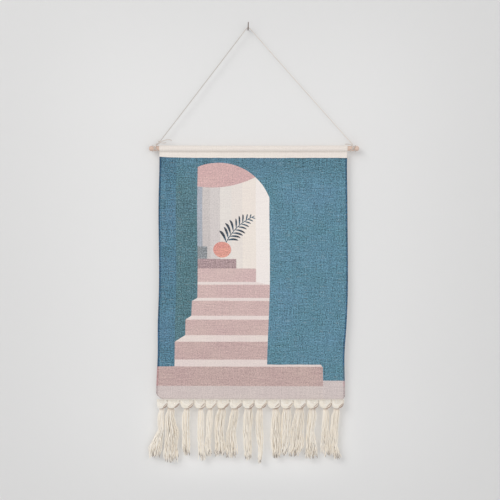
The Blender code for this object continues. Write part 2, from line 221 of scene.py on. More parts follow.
class Value:
    """A number's socket, which adds Math nodes as it is used in Python expressions."""

    def __init__(self, nodes: Nodes, socket: bpy.types.NodeSocket) -> None:
        """Keeps the socket and the tree that it belongs to."""
        self.nodes = nodes
        self.socket = socket

    def _math(self, operation: str, *terms: object, clamp: bool = False) -> "Value":
        """Adds one Math node over these terms."""
        settings = {"operation": operation, "use_clamp": clamp}
        return Value(self.nodes, self.nodes.add("Math", settings, dict(enumerate(terms))).outputs[0])

    def __add__(self, other: object) -> "Value":
        """The sum."""
        return self._math("ADD", self, other)

    __radd__ = __add__

    def __sub__(self, other: object) -> "Value":
        """The difference."""
        return self._math("SUBTRACT", self, other)

    def __rsub__(self, other: object) -> "Value":
        """The difference from a plain number."""
        return self._math("SUBTRACT", other, self)

    def __mul__(self, other: object) -> "Value":
        """The product."""
        return self._math("MULTIPLY", self, other)

    __rmul__ = __mul__

    def __truediv__(self, other: object) -> "Value":
        """The quotient."""
        return self._math("DIVIDE", self, other)

    def __pow__(self, other: object) -> "Value":
        """The power."""
        return self._math("POWER", self, other)

    def __gt__(self, other: object) -> "Value":
        """1 where this is more than the other, 0 elsewhere."""
        return self._math("GREATER_THAN", self, other)

    def __lt__(self, other: object) -> "Value":
        """1 where this is less than the other, 0 elsewhere."""
        return self._math("LESS_THAN", self, other)

    def __abs__(self) -> "Value":
        """The size without its sign."""
        return self._math("ABSOLUTE", self)

    def exponential(self) -> "Value":
        """The number e to this power."""
        return self._math("EXPONENT", self)

    def sine(self) -> "Value":
        """The sine."""
        return self._math("SINE", self)

    def rounded(self) -> "Value":
        """The nearest whole number."""
        return self._math("ROUND", self)

    def angle_over(self, other: "Value") -> "Value":
        """The angle whose tangent is this over the other."""
        return self._math("ARCTAN2", self, other)

    def least(self, other: object) -> "Value":
        """The lesser of two."""
        return self._math("MINIMUM", self, other)

    def most(self, other: object) -> "Value":
        """The greater of two."""
        return self._math("MAXIMUM", self, other)

    def held(self) -> "Value":
        """This number, kept from 0 to 1."""
        return self._math("ADD", self, 0.0, clamp=True)

    def rise(self, low: float, high: float) -> "Value":
        """Eases evenly from 0 to 1.

        Args:
            low: where it is still 0.
            high: where it is 1. This may be the lower of the two, and then it falls.

        Returns:
            The eased share, held at its ends.
        """
        inputs = {"Value": self, "From Min": low, "From Max": high, "To Min": 0.0, "To Max": 1.0}
        node = self.nodes.add("MapRange", {"interpolation_type": "SMOOTHSTEP", "clamp": True}, inputs)
        return Value(self.nodes, node.outputs[0])


# ---------------------------------------------------------------- mesh shorthand


class Skein:
    """Gathers strands and skins into one mesh, and the facts that its finish reads at each point.

    Each point holds "lay": how far along its strand it is and how far round it, in metres, and the
    strand's own shade from 0 to 1. It also holds "mark": three more numbers, whose meaning each finish
    that reads them gives.
    """

    PLY_OUT: ClassVar[float] = 0.49  # how far out a ply's middle lies, as a share of the strand's radius
    PLY_OUT_SQUARE: ClassVar[float] = 0.24  # its square
    PLY_RADIUS_SQUARE: ClassVar[float] = 0.26  # the square of a ply's own radius, as such a share
    SKIN_GIRTH: ClassVar[float] = 0.03  # how far round a lofted skin its finish runs

    def __init__(self) -> None:
        """Starts with nothing in it."""
        self.points: list[np.ndarray] = []
        self.faces: list[np.ndarray] = []
        self.lay: list[np.ndarray] = []
        self.marks: list[np.ndarray] = []
        self.count = 0

    def add(self, points: np.ndarray, faces: np.ndarray, lay: np.ndarray, marks: np.ndarray) -> None:
        """Adds a skin.

        Args:
            points: its points.
            faces: the four corners of each face. A triangle has its last corner twice.
            lay: the fact "lay" at each point.
            marks: the fact "mark" at each point.
        """
        self.points.append(points)
        self.faces.append(faces + self.count)
        self.lay.append(lay)
        self.marks.append(marks)
        self.count += len(points)

    def strand(
        self,
        path: np.ndarray,
        radius: np.ndarray | float,
        shade: float = 0.5,
        sides: int = 6,
        plies: int = 0,
        pitch: float = 0.007,
        closed: bool = False,
        marks: np.ndarray | None = None,
    ) -> None:
        """Adds a tube along a path, round or laid up from twisted plies.

        Args:
            path: its middle line, one row a point.
            radius: its radius, one for all or one a point.
            shade: the strand's own shade.
            sides: points round it.
            plies: how many plies show round it, or 0 for a plain round.
            pitch: length of one full twist of the plies.
            closed: whether its end joins its start.
            marks: three more facts at each point of the path.
        """
        n = len(path)
        ahead = np.roll(path, -1, 0) - np.roll(path, 1, 0) if closed else np.gradient(path, axis=0)
        ahead /= np.linalg.norm(ahead, axis=1)[:, None]
        steps = np.linalg.norm(np.diff(path, axis=0), axis=1)
        along = np.concatenate([[0.0], np.cumsum(steps)])
        out = np.empty_like(path)
        start = np.cross(ahead[0], (0.0, 1.0, 0.0) if abs(ahead[0][1]) < 0.9 else (1.0, 0.0, 0.0))
        out[0] = start / np.linalg.norm(start)
        for i in range(1, n):
            turned = out[i - 1] - ahead[i] * (out[i - 1] @ ahead[i])
            out[i] = turned / np.linalg.norm(turned)
        side = np.cross(ahead, out)
        turn = np.linspace(0, FULL_TURN, sides, endpoint=False)[None, :]
        if closed:
            slip = math.atan2(out[-1] @ side[0], out[-1] @ out[0])
            turn = turn - slip * (along / along[-1])[:, None]
        reach = np.broadcast_to(np.asarray(radius, float).reshape(-1, 1), (n, 1)) * np.ones((n, sides))
        if plies:
            laid = (turn - FULL_TURN * along[:, None] / pitch) % (FULL_TURN / plies)
            off = laid - math.pi / plies
            hump = np.sqrt(self.PLY_RADIUS_SQUARE - self.PLY_OUT_SQUARE * np.sin(off) ** 2)
            reach = reach * (self.PLY_OUT * np.cos(off) + hump)
        across, up = reach * np.cos(turn), reach * np.sin(turn)
        points = path[:, None] + across[..., None] * out[:, None] + up[..., None] * side[:, None]
        a = np.arange(n * sides).reshape(n, sides)
        b = np.roll(a, -1, 1)
        above, beyond = np.roll(a, -1, 0), np.roll(b, -1, 0)
        rows = n if closed else n - 1
        faces = np.stack([a[:rows], b[:rows], beyond[:rows], above[:rows]], -1).reshape(-1, 4)
        points = points.reshape(-1, 3)
        round_it = np.linspace(0, 1, sides, endpoint=False)[None, :] * FULL_TURN * np.mean(radius)
        round_it = np.broadcast_to(round_it, (n, sides))
        lay = np.stack([np.repeat(along, sides), round_it.ravel(), np.full(n * sides, shade)], 1)
        facts = np.zeros((n, 3)) if marks is None else marks
        self.add(points, faces, lay, np.repeat(facts, sides, 0))
        if not closed:
            self._cap(points[:sides][::-1], path[0], lay[0], facts[0])
            self._cap(points[-sides:], path[-1], lay[-1], facts[-1])

    def _cap(self, ring: np.ndarray, middle: np.ndarray, lay: np.ndarray, mark: np.ndarray) -> None:
        """Closes a strand's end with a low cone.

        Args:
            ring: the end's points.
            middle: the cone's tip.
            lay: the fact "lay" there.
            mark: the fact "mark" there.
        """
        n = len(ring)
        points = np.vstack([ring, middle])
        i = np.arange(n)
        faces = np.stack([i, (i + 1) % n, np.full(n, n)], 1)
        faces = np.hstack([faces, faces[:, 2:3]])
        self.add(points, faces, np.tile(lay, (n + 1, 1)), np.tile(mark, (n + 1, 1)))

    def loft(self, rings: np.ndarray, shade: float, mark: Point = (0.0, 0.0, 0.0)) -> None:
        """Adds a closed skin over rings of points.

        Args:
            rings: the rings, of as many points each, shaped (rings, points, 3).
            shade: the skin's shade.
            mark: the fact "mark" all over it.
        """
        n, sides = rings.shape[:2]
        a = np.arange(n * sides).reshape(n, sides)
        b = np.roll(a, -1, 1)
        faces = np.stack([a[:-1], b[:-1], b[1:], a[1:]], -1).reshape(-1, 4)
        points = rings.reshape(-1, 3)
        lay = np.zeros((n * sides, 3))
        lay[:, 0] = points[:, 2] - points[:, 2].min()
        lay[:, 1] = np.tile(np.linspace(0, self.SKIN_GIRTH, sides), n)
        lay[:, 2] = shade
        self.add(points, faces, lay, np.tile(mark, (n * sides, 1)))
        for ring, flip in ((rings[0], True), (rings[-1], False)):
            ring = ring[::-1] if flip else ring
            self._cap(ring, ring.mean(0), np.array((0.0, 0.0, shade)), np.array(mark))

    def piece(
        self, name: str, *finishes: bpy.types.Material, choice: np.ndarray | None = None
    ) -> bpy.types.Object:
        """Makes the mesh object.

        Args:
            name: the piece's name.
            finishes: its materials.
            choice: which of them each face takes, where there are several.

        Returns:
            The object, linked to the scene, with its place in its mesh.
        """
        points, faces = np.vstack(self.points), np.vstack(self.faces)
        corners = [tuple(f[:3]) if f[2] == f[3] else tuple(f) for f in faces.tolist()]
        mesh = bpy.data.meshes.new(name)
        mesh.from_pydata(points.tolist(), [], corners)
        for fact, rows in (("lay", self.lay), ("mark", self.marks)):
            stored = mesh.attributes.new(fact, "FLOAT_VECTOR", "POINT")
            stored.data.foreach_set("vector", np.vstack(rows).astype(np.float32).ravel())
        for finish in finishes:
            mesh.materials.append(finish)
        if choice is not None:
            mesh.polygons.foreach_set("material_index", choice.astype(np.int32))
        mesh.shade_smooth()
        mesh.validate()
        thing = bpy.data.objects.new(name, mesh)
        bpy.context.scene.collection.objects.link(thing)
        return thing


def smooth_line(route: list[Point] | tuple[Point, ...], spacing: float) -> np.ndarray:
    """Points along the centripetal curve that passes through a route's own points.

    Args:
        route: the points that it passes through.
        spacing: about how far apart the new points lie.

    Returns:
        One row a point.
    """
    given = np.array(route, float)
    given = np.vstack([2 * given[0] - given[1], given, 2 * given[-1] - given[-2]])
    line = []
    for quad in zip(given, given[1:], given[2:], given[3:]):
        gaps = [math.sqrt(np.linalg.norm(b - a)) for a, b in zip(quad, quad[1:])]
        knots = np.concatenate([[0.0], np.cumsum(gaps)])
        steps = max(1, round(float(np.linalg.norm(quad[2] - quad[1])) / spacing))
        for step in range(steps):
            t = knots[1] + (knots[2] - knots[1]) * step / steps
            level = list(quad)
            for row in (((0, 1), (1, 2), (2, 3)), ((0, 2), (1, 3)), ((1, 2),)):
                shares = [(t - knots[a]) / (knots[b] - knots[a]) for a, b in row]
                level = [p + (q - p) * w for p, q, w in zip(level, level[1:], shares)]
            line.append(level[0])
    line.append(given[-2])
    return np.array(line)


def even_line(line: np.ndarray, spacing: float) -> np.ndarray:
    """Puts the points of a line an even distance apart.

    Args:
        line: the line, one row a point.
        spacing: about how far apart they are put.

    Returns:
        The same line, one row a point.
    """
    along = np.concatenate([[0.0], np.cumsum(np.linalg.norm(np.diff(line, axis=0), axis=1))])
    places = np.linspace(0, along[-1], max(2, round(along[-1] / spacing)) + 1)
    return np.stack([np.interp(places, along, line[:, i]) for i in range(3)], 1)


def line_length(line: np.ndarray) -> float:
    """Length of a line of points."""
    return float(np.linalg.norm(np.diff(line, axis=0), axis=1).sum())


def levels(node: str) -> np.ndarray:
    """Reads the level rings of points that a CAD solid is lofted over.

    Args:
        node: the solid's name.

    Returns:
        The height, left, right, front and back of each ring, from the top down.
    """
    mesh = frame["nodes"][node].data
    co = np.empty(len(mesh.vertices) * 3)
    mesh.vertices.foreach_get("co", co)
    co = co.reshape(-1, 3)
    rows = []
    for height in np.unique(np.round(co[:, 2], 5))[::-1]:
        ring = co[abs(co[:, 2] - height) < SAME_LEVEL]
        if len(ring) > 3:
            low, high = ring.min(0), ring.max(0)
            rows.append((height, low[0], high[0], low[1], high[1]))
    return np.array(rows)


# ---------------------------------------------------------------- finishes


@dataclass(frozen=True)
class Area:
    """A straight-sided area of the print, in millimetres across and down the cloth.

    left_low and right_low are its sides at its lower edge, where they slant.
    """

    colour: Colour
    left: float
    right: float
    top: float
    bottom: float
    left_low: float | None = None
    right_low: float | None = None


class Side(Enum):
    """The side of the cloth that a finish is for."""

    FACE = "face"
    REVERSE = "reverse"


@dataclass(frozen=True)
class Arch:
    """The arched opening in the print, and the dome painted in its top. Millimetres."""

    left: float = 92.0
    right: float = 264.0
    bottom: float = 420.0
    centre: tuple[float, float] = (142.0, 174.0)
    radius: float = 131.0
    dome_centre: tuple[float, float] = (128.0, -121.0)
    dome_radius: float = 223.0
    dome: Colour = tone(205, 171, 170)
    bands_from: float = 80.0
    bands_span: float = 200.0
    bands: tuple[tuple[float, Colour], ...] = (
        (92.0, tone(167, 172, 182)),
        (104.0, tone(200, 193, 191)),
        (122.6, tone(208, 201, 199)),
        (146.0, tone(224, 218, 213)),
        (173.6, tone(227, 219, 213)),
        (199.0, tone(233, 224, 216)),
        (231.0, tone(237, 230, 226)),
    )

    def paint(self, nodes: Nodes, u: Value, v: Value, ground: object) -> bpy.types.NodeSocket:
        """Paints the opening over the ground.

        Args:
            nodes: the print's tree.
            u: millimetres from the cloth's left edge.
            v: millimetres down the cloth.
            ground: the colour so far.

        Returns:
            The new colour.
        """
        across, down = u - self.centre[0], v - self.centre[1]
        inside = (v > self.centre[1]).most(across * across + down * down < self.radius**2)
        opening = inside * (u > self.left) * (u < self.right) * (v < self.bottom)
        stops = [((place - self.bands_from) / self.bands_span, colour) for place, colour in self.bands]
        ramp = nodes.add("ValToRGB", {"stops": stops}, {"Fac": (u - self.bands_from) / self.bands_span})
        ramp.color_ramp.interpolation = "CONSTANT"
        ground = nodes.mix(opening, ground, ramp.outputs[0])
        across, down = u - self.dome_centre[0], v - self.dome_centre[1]
        dome = opening * (across * across + down * down < self.dome_radius**2)
        return nodes.mix(dome, ground, self.dome)


@dataclass(frozen=True)
class LeafSpray:
    """A spray of narrow leaves on a bent stem that stands in the round pot. Millimetres.

    The stem is an arc about centre. It starts at the angle start, and its leaves leave it every pitch.
    """

    centre: tuple[float, float] = (280.2, 294.0)
    radius: float = 134.5
    start: float = 0.479
    length: float = 94.0
    pitch: float = 10.2
    reach: float = 25.0  # how much longer the lowest leaves are than the shortest
    shorter_below: float = 2.0  # how much shorter the leaves on the stem's inner side are
    shortest: float = 2.0
    taper: float = 1.7  # how late along the stem the leaves grow shorter
    scatter: float = 0.3  # how much their lengths differ
    sway: float = 0.14  # how much their directions differ
    lean: float = 1.05
    curve: float = 0.020
    half_width: float = 3.1
    narrowing: float = 2.2  # the stem lengths over which their width would come to nothing
    first_leaf: float = -1.0
    bare_tip: float = 5.0
    stem_half_width: float = 0.85
    stem_foot: float = -9.0
    colour: Colour = tone(56, 84, 104)
    edge_colour: Colour = tone(70, 72, 80)
    edge_fade: tuple[float, float] = (4.0, 16.0)  # how far from the stem the leaves turn the edge colour
    edge_depth: float = 0.8

    def paint(self, nodes: Nodes, u: Value, v: Value, ground: object) -> bpy.types.NodeSocket:
        """Paints the spray over the ground, in places along the stem and away from it.

        Args:
            nodes: the print's tree.
            u: millimetres from the cloth's left edge.
            v: millimetres down the cloth.
            ground: the colour so far.

        Returns:
            The new colour.
        """
        across, up = self.centre[0] - u, self.centre[1] - v
        away = (across * across + up * up) ** 0.5 - self.radius
        along = (up.angle_over(across) - self.start) * self.radius
        below, far = away < 0.0, abs(away)
        root = along - far * self.lean + far * far * self.curve - below * (self.pitch / 2)
        number = (root / self.pitch).rounded()
        chance = nodes.add("TexWhiteNoise", {"noise_dimensions": "1D"}, {"W": number + below * 40.0})
        chance = nodes.value(chance.outputs["Value"]) - 0.5
        base = number * self.pitch
        fuller = 1 - (base / self.length).held() ** self.taper
        full = fuller * (self.reach - below * self.shorter_below) * (1 + chance * self.scatter)
        share = (far / (full + self.shortest)).held()
        width = (share * (1 - share) * 4) ** 0.7 * self.half_width
        width = width * (1 - base / (self.length * self.narrowing))
        bend = chance * far * self.sway
        leaf = abs(root - base + bend) < width
        leaf = leaf * (base > self.first_leaf) * (base < self.length - self.bare_tip)
        stem = (far < self.stem_half_width) * (along > self.stem_foot) * (along < self.length)
        ink = nodes.mix(far.rise(*self.edge_fade) * self.edge_depth, self.colour, self.edge_colour)
        return nodes.mix(leaf.most(stem), ground, ink)


@dataclass(frozen=True)
class PrintedCotton:
    """Slubby plain-weave cotton, cream at the top and printed below with an arch and a stair."""

    header_edge: float = 31.4  # where the cream ends and the print begins
    header_bow: float = 2.8  # how much higher the print begins at its left edge
    header_bow_reach: float = 45.0
    cloth_width: float = 450.0
    edge_strip: float = 5.5  # the strip along both sides that is made darker
    edge_fade: float = 2.5
    edge_depth: float = 0.92
    edge_teal: Colour = (0.36, 0.46, 0.60)
    edge_rose: Colour = (0.80, 0.64, 0.68)
    edge_grey: Colour = (0.74, 0.70, 0.72)
    riser_top: float = 529.0
    landing_top: float = 575.5
    seam_shade: Colour = (0.45, 0.50, 0.58)
    seam_depth: float = 0.55
    seam_fade: tuple[float, float] = (2.6, 0.6)
    band_left: float = 41.0
    band_right: float = 92.0
    band_depth: float = 0.85
    band_fade: tuple[float, float] = (36.0, 120.0)
    top_shade: float = 0.14
    top_fade: tuple[float, float] = (40.0, 95.0)
    pot_centre: tuple[float, float] = (150.7, 249.8)
    pot_half: tuple[float, float] = (21.3, 18.9)
    cream: Colour = tone(231, 223, 216)
    cream_wrapped: Colour = tone(228, 220, 213)
    teal: Colour = tone(93, 133, 151)
    teal_left: Colour = tone(85, 123, 143)
    teal_band: Colour = tone(84, 117, 125)
    arch: Arch = Arch()
    spray: LeafSpray = LeafSpray()
    pot: Colour = tone(216, 154, 142)
    edge_wobble: tuple[float, float] = (1.1, 0.9)
    edge_drift: float = 1.4
    reverse_fade: float = 0.66
    bare_specks: float = 0.55
    pale_slubs: float = 0.22
    weave_depth: float = 0.00022
    weave_strength: float = 0.55
    areas: tuple[Area, ...] = (
        Area(tone(142, 146, 150), 92, 115, 242, 272),
        Area(tone(170, 147, 149), 92, 184, 272, 295),
        Area(tone(206, 180, 178), 92, 231, 295, 327),
        Area(tone(228, 215, 211), 92, 231, 327, 333.6, 92, 264),
        Area(tone(204, 177, 175), 92, 264, 333.6, 365),
        Area(tone(228, 215, 211), 92, 264, 365, 372, 80, 264),
        Area(tone(203, 177, 174), 79.5, 264, 372, 407.6),
        Area(tone(228, 214, 210), 79, 264, 407.6, 417, 66, 264),
        Area(tone(200, 174, 171), 66, 264, 417, 454),
        Area(tone(226, 212, 207), 66, 264, 454, 469.8, 41, 264),
        Area(tone(195, 169, 166), 41, 264, 469.8, 512.4),
        Area(tone(224, 210, 206), 41.5, 264, 512.4, 530),
        Area(tone(224, 210, 206), 264, 393, 524, 531.4, 264, 398),
        Area(tone(191, 166, 162), -2, 398, 529, 575.5),
        Area(tone(204, 192, 190), 398, 452, 562, 608),
        Area(tone(205, 192, 189), -2, 398, 575.5, 608),
    )

    def _area_mask(self, area: Area, u: Value, v: Value) -> Value:
        """Finds an area of the print.

        Args:
            area: the area.
            u: millimetres from the cloth's left edge.
            v: millimetres down the cloth.

        Returns:
            1 inside it and 0 outside.
        """
        left: object = area.left
        right: object = area.right
        if area.left_low is not None:
            share = (v - area.top) / (area.bottom - area.top)
            left = share * (area.left_low - area.left) + area.left
            right = share * (area.right_low - area.right) + area.right
        return (u > left) * (u < right) * (v > area.top) * (v < area.bottom)

    def _paint(self, nodes: Nodes, u: Value, v: Value) -> tuple[bpy.types.NodeSocket, Value]:
        """Paints the whole print.

        Args:
            nodes: the material's tree.
            u: millimetres from the cloth's left edge.
            v: millimetres down the cloth.

        Returns:
            The colour, and 1 where the cloth is printed.
        """
        strip = u < self.band_left
        band = (u > self.band_left) * (u < self.band_right) * v.rise(*self.band_fade)
        ground = nodes.mix(strip, self.teal, self.teal_left)
        ground = nodes.mix(band * self.band_depth, ground, self.teal_band)
        ground = nodes.scaled(ground, 1 - self.top_shade + v.rise(*self.top_fade) * self.top_shade)
        ground = self.arch.paint(nodes, u, v, ground)
        ground = self.spray.paint(nodes, u, v, ground)
        across = (u - self.pot_centre[0]) / self.pot_half[0]
        down = (v - self.pot_centre[1]) / self.pot_half[1]
        ground = nodes.mix(across * across + down * down < 1.0, ground, self.pot)
        for area in self.areas:
            ground = nodes.mix(self._area_mask(area, u, v), ground, area.colour)
        inset = u.least(self.cloth_width - u)
        edge_dark = nodes.mix(v > self.riser_top, self.edge_teal, self.edge_rose)
        edge_dark = nodes.mix(v > self.landing_top, edge_dark, self.edge_grey)
        near = inset.rise(self.edge_strip, self.edge_strip - self.edge_fade) * self.edge_depth
        ground = nodes.mix(near, ground, edge_dark, "MULTIPLY")
        bow = (u / -self.header_bow_reach).exponential() * -self.header_bow
        edge = v - (bow + self.header_edge)
        near = edge.rise(*self.seam_fade) * self.seam_depth
        ground = nodes.mix(near, ground, self.seam_shade, "MULTIPLY")
        printed = edge > 0.0
        return nodes.mix(printed, self.cream, ground), printed

    def material(self, side: Side) -> bpy.types.Material:
        """Makes the finish for one side of the cloth.

        Args:
            side: its face, or its reverse, where the print only shows through.

        Returns:
            The material.
        """
        nodes = Nodes(f"cotton_{side.value}")
        x, y, _ = nodes.fact("lay")
        u, v = x * 1000, y * 1000
        wobble = nodes.noise(nodes.place(u * 0.9, v * 0.9, 7.0), 1.0) - 0.5
        drift = nodes.noise(nodes.place(u * 0.05, v * 0.05, 3.0), 1.0) - 0.5
        across = u + wobble * self.edge_wobble[0]
        down = v + wobble * self.edge_wobble[1] + drift * self.edge_drift
        colour, printed = self._paint(nodes, across, down)
        if side is Side.REVERSE:
            colour = nodes.mix(self.reverse_fade, colour, self.cream_wrapped)
        dark = 1 - nodes.value(nodes.add("RGBToBW", None, {"Color": colour}).outputs[0])
        depth = dark * dark * dark * 0.95 + 0.035
        grain = nodes.noise(nodes.place(u * 0.34, v * 0.34), 3.0, 0.75) - 0.5
        weft = nodes.noise(nodes.place(u * 0.022, v * 0.62, 11.0), 2.0) - 0.5
        warp = nodes.noise(nodes.place(u * 0.60, v * 0.016, 23.0), 2.0) - 0.5
        cloud = nodes.noise(nodes.place(u * 0.012, v * 0.012, 31.0), 2.0) - 0.5
        slub = nodes.noise(nodes.place(u * 0.05, v * 0.8, 41.0), 0.0).rise(0.70, 0.80)
        bright = 1 + depth * (grain * 8.0 + weft * 2.4 + warp * 1.8 + cloud * 0.6)
        colour = nodes.scaled(colour, bright.most(0.25))
        speck = nodes.noise(nodes.place(u * 0.55, v * 0.55, 57.0), 0.0).rise(0.775, 0.83)
        bare = (speck * self.bare_specks + slub * self.pale_slubs) * (dark * 0.8 + 0.1) * printed
        colour = nodes.mix(bare, colour, self.cream)
        hue = nodes.add("HueSaturation", None, {"Hue": 0.5 + (weft + cloud) * 0.035, "Color": colour})
        over = (u * math.pi).sine() * (v * math.pi).sine()
        cross = abs((u * math.pi).sine()) * 0.35 + abs((v * math.pi).sine()) * 0.45
        height = over * 0.25 + cross + slub * 0.9 + weft * 0.6 + warp * 0.4
        rough = 0.90 + grain * 0.10 - slub * 0.04
        return nodes.finish(
            {
                "Base Color": hue.outputs[0],
                "Roughness": rough,
                "Normal": nodes.bump(height, self.weave_depth, self.weave_strength),
                "Specular IOR Level": 0.22,
                "Sheen Weight": 0.10,
                "Sheen Roughness": 0.45,
            }
        )


@dataclass(frozen=True)
class LooseYarn:
    """Undyed cotton warp yarn, of the knots and of the tassels below them."""

    pale: Colour = tone(249, 244, 236)
    warm: Colour = tone(243, 232, 214)
    # painted shade: the brown laid in the knots' hollows and under them
    hollow_shade: Colour = tone(150, 106, 84)
    tip: Colour = tone(128, 118, 114)
    twist: float = 0.0046
    girth: float = 0.0052

    def material(self) -> bpy.types.Material:
        """Makes the finish.

        A point's "mark" holds how much painted shade it gets, how near its yarn's cut end, and 1 where it
        is tied tight, where the yarn is painted a little darker as shade.

        Returns:
            The material.
        """
        nodes = Nodes("warp_yarn")
        along, round_it, shade = nodes.fact("lay")
        hollow_shade, end, knot_shade = nodes.fact("mark")
        place = nodes.place(along * 260, round_it * 900, shade * 60)
        fibre = nodes.noise(place, 3.0, 0.6) - 0.5
        blotch = nodes.noise(nodes.place(along * 45, shade * 37, 3.0), 2.0) - 0.5
        colour = nodes.mix((shade + blotch * 0.9).held(), self.pale, self.warm)
        # painted shade: brown in the knots' hollows, under them and at their lower right
        colour = nodes.mix(hollow_shade.held() * 0.85, colour, self.hollow_shade)
        # some yarns turn grey towards their cut ends: partly frayed ends, partly painted shadow
        colour = nodes.mix((end.rise(0.90, 1.0) * shade.rise(0.35, 0.6) * 0.9).held(), colour, self.tip)
        # painted shade: yarn tied in a knot is made 9 % darker than the loose yarn
        colour = nodes.scaled(colour, 1 + fibre * 0.22 - knot_shade * 0.09)
        ply = ((along / self.twist + round_it / self.girth) * FULL_TURN).sine()
        height = ply * 0.35 + fibre * 0.9
        return nodes.finish(
            {
                "Base Color": colour,
                "Roughness": 0.93 + fibre * 0.08,
                "Normal": nodes.bump(height, 0.00025, 0.8),
                "Specular IOR Level": 0.18,
                "Sheen Weight": 0.15,
                "Sheen Roughness": 0.5,
            }
        )


@dataclass(frozen=True)
class Twine:
    """Thin natural cotton twine, laid up from three plies."""

    light: Colour = tone(224, 217, 211)
    shaded: Colour = tone(182, 173, 166)
    leg_light_depth: float = 0.16

    def material(self) -> bpy.types.Material:
        """Makes the finish, with fibres along the plies, a little soiling, and painted light and shade on
        the legs.

        A point's "mark" starts with its painted light, from -1, painted shade, to 1, painted light.

        Returns:
            The material.
        """
        nodes = Nodes("cotton_twine")
        along, round_it, shade = nodes.fact("lay")
        leg_light, _, _ = nodes.fact("mark")
        fibre = nodes.noise(nodes.place(along * 420, round_it * 1500, shade * 9), 3.0, 0.65) - 0.5
        soil = nodes.noise(nodes.place(along * 30, 0.0, shade * 20), 2.0)
        colour = nodes.mix((soil * 0.8 + fibre * 0.8).held(), self.light, self.shaded)
        # painted shade on the long middle's left leg, painted light on its right leg
        colour = nodes.scaled(colour, 1 + leg_light * self.leg_light_depth)
        return nodes.finish(
            {
                "Base Color": colour,
                "Roughness": 0.90 + fibre * 0.1,
                "Normal": nodes.bump(fibre, 0.0002, 0.7),
                "Specular IOR Level": 0.2,
                "Sheen Weight": 0.12,
                "Sheen Roughness": 0.5,
            }
        )


@dataclass(frozen=True)
class Hardwood:
    """Bare sanded pale hardwood with its grain along the rod."""

    pale: Colour = tone(222, 200, 186)
    brown: Colour = tone(190, 160, 143)
    pore: Colour = tone(140, 104, 84)

    def material(self) -> bpy.types.Material:
        """Makes the finish, with growth streaks, pores, faint handling marks and sanded bump.

        Returns:
            The material.
        """
        nodes = Nodes("dowel_hardwood")
        spot = nodes.add("TexCoord").outputs["Object"]
        parts = nodes.add("SeparateXYZ", None, {"Vector": spot})
        x, y, z = (nodes.value(parts.outputs[i]) for i in range(3))
        streak = nodes.noise(nodes.place(x * 9, y * 420, z * 420), 3.0, 0.6)
        broad = nodes.noise(nodes.place(x * 3, y * 90, z * 90), 1.0)
        pores = nodes.noise(nodes.place(x * 130, y * 1900, z * 1900), 1.0).rise(0.66, 0.78)
        marks = nodes.noise(nodes.place(x * 40, y * 60, z * 60), 3.0, 0.6)
        colour = nodes.mix((streak * 0.9 + broad * 0.7 - 0.35).held(), self.pale, self.brown)
        colour = nodes.mix(pores * 0.45, colour, self.pore)
        colour = nodes.scaled(colour, 1.04 - marks.rise(0.55, 0.8) * 0.12)
        return nodes.finish(
            {
                "Base Color": colour,
                "Roughness": 0.52 + streak * 0.16 + pores * 0.12,
                "Normal": nodes.bump(streak * 0.6 - pores * 0.7, 0.00018, 0.6),
                "Specular IOR Level": 0.35,
            }
        )


@dataclass(frozen=True)
class SewingThread:
    """Cream cotton sewing thread."""

    colour: Colour = tone(214, 203, 191)
    twist: float = 0.0009
    girth: float = 0.0012

    def material(self) -> bpy.types.Material:
        """Makes the finish, with its fine twist, painted darker in its grooves and lighter on its ridges.

        Returns:
            The material.
        """
        nodes = Nodes("sewing_thread")
        along, round_it, _ = nodes.fact("lay")
        twist = ((along / self.twist + round_it / self.girth) * FULL_TURN).sine() * 0.5 + 0.5
        # painted shade in the twist's grooves and painted light on its ridges
        colour = nodes.scaled(self.colour, 0.92 + twist * 0.12)
        return nodes.finish(
            {"Base Color": colour, "Roughness": 0.75 - twist * 0.1, "Normal": nodes.bump(twist, 0.00006)}
        )


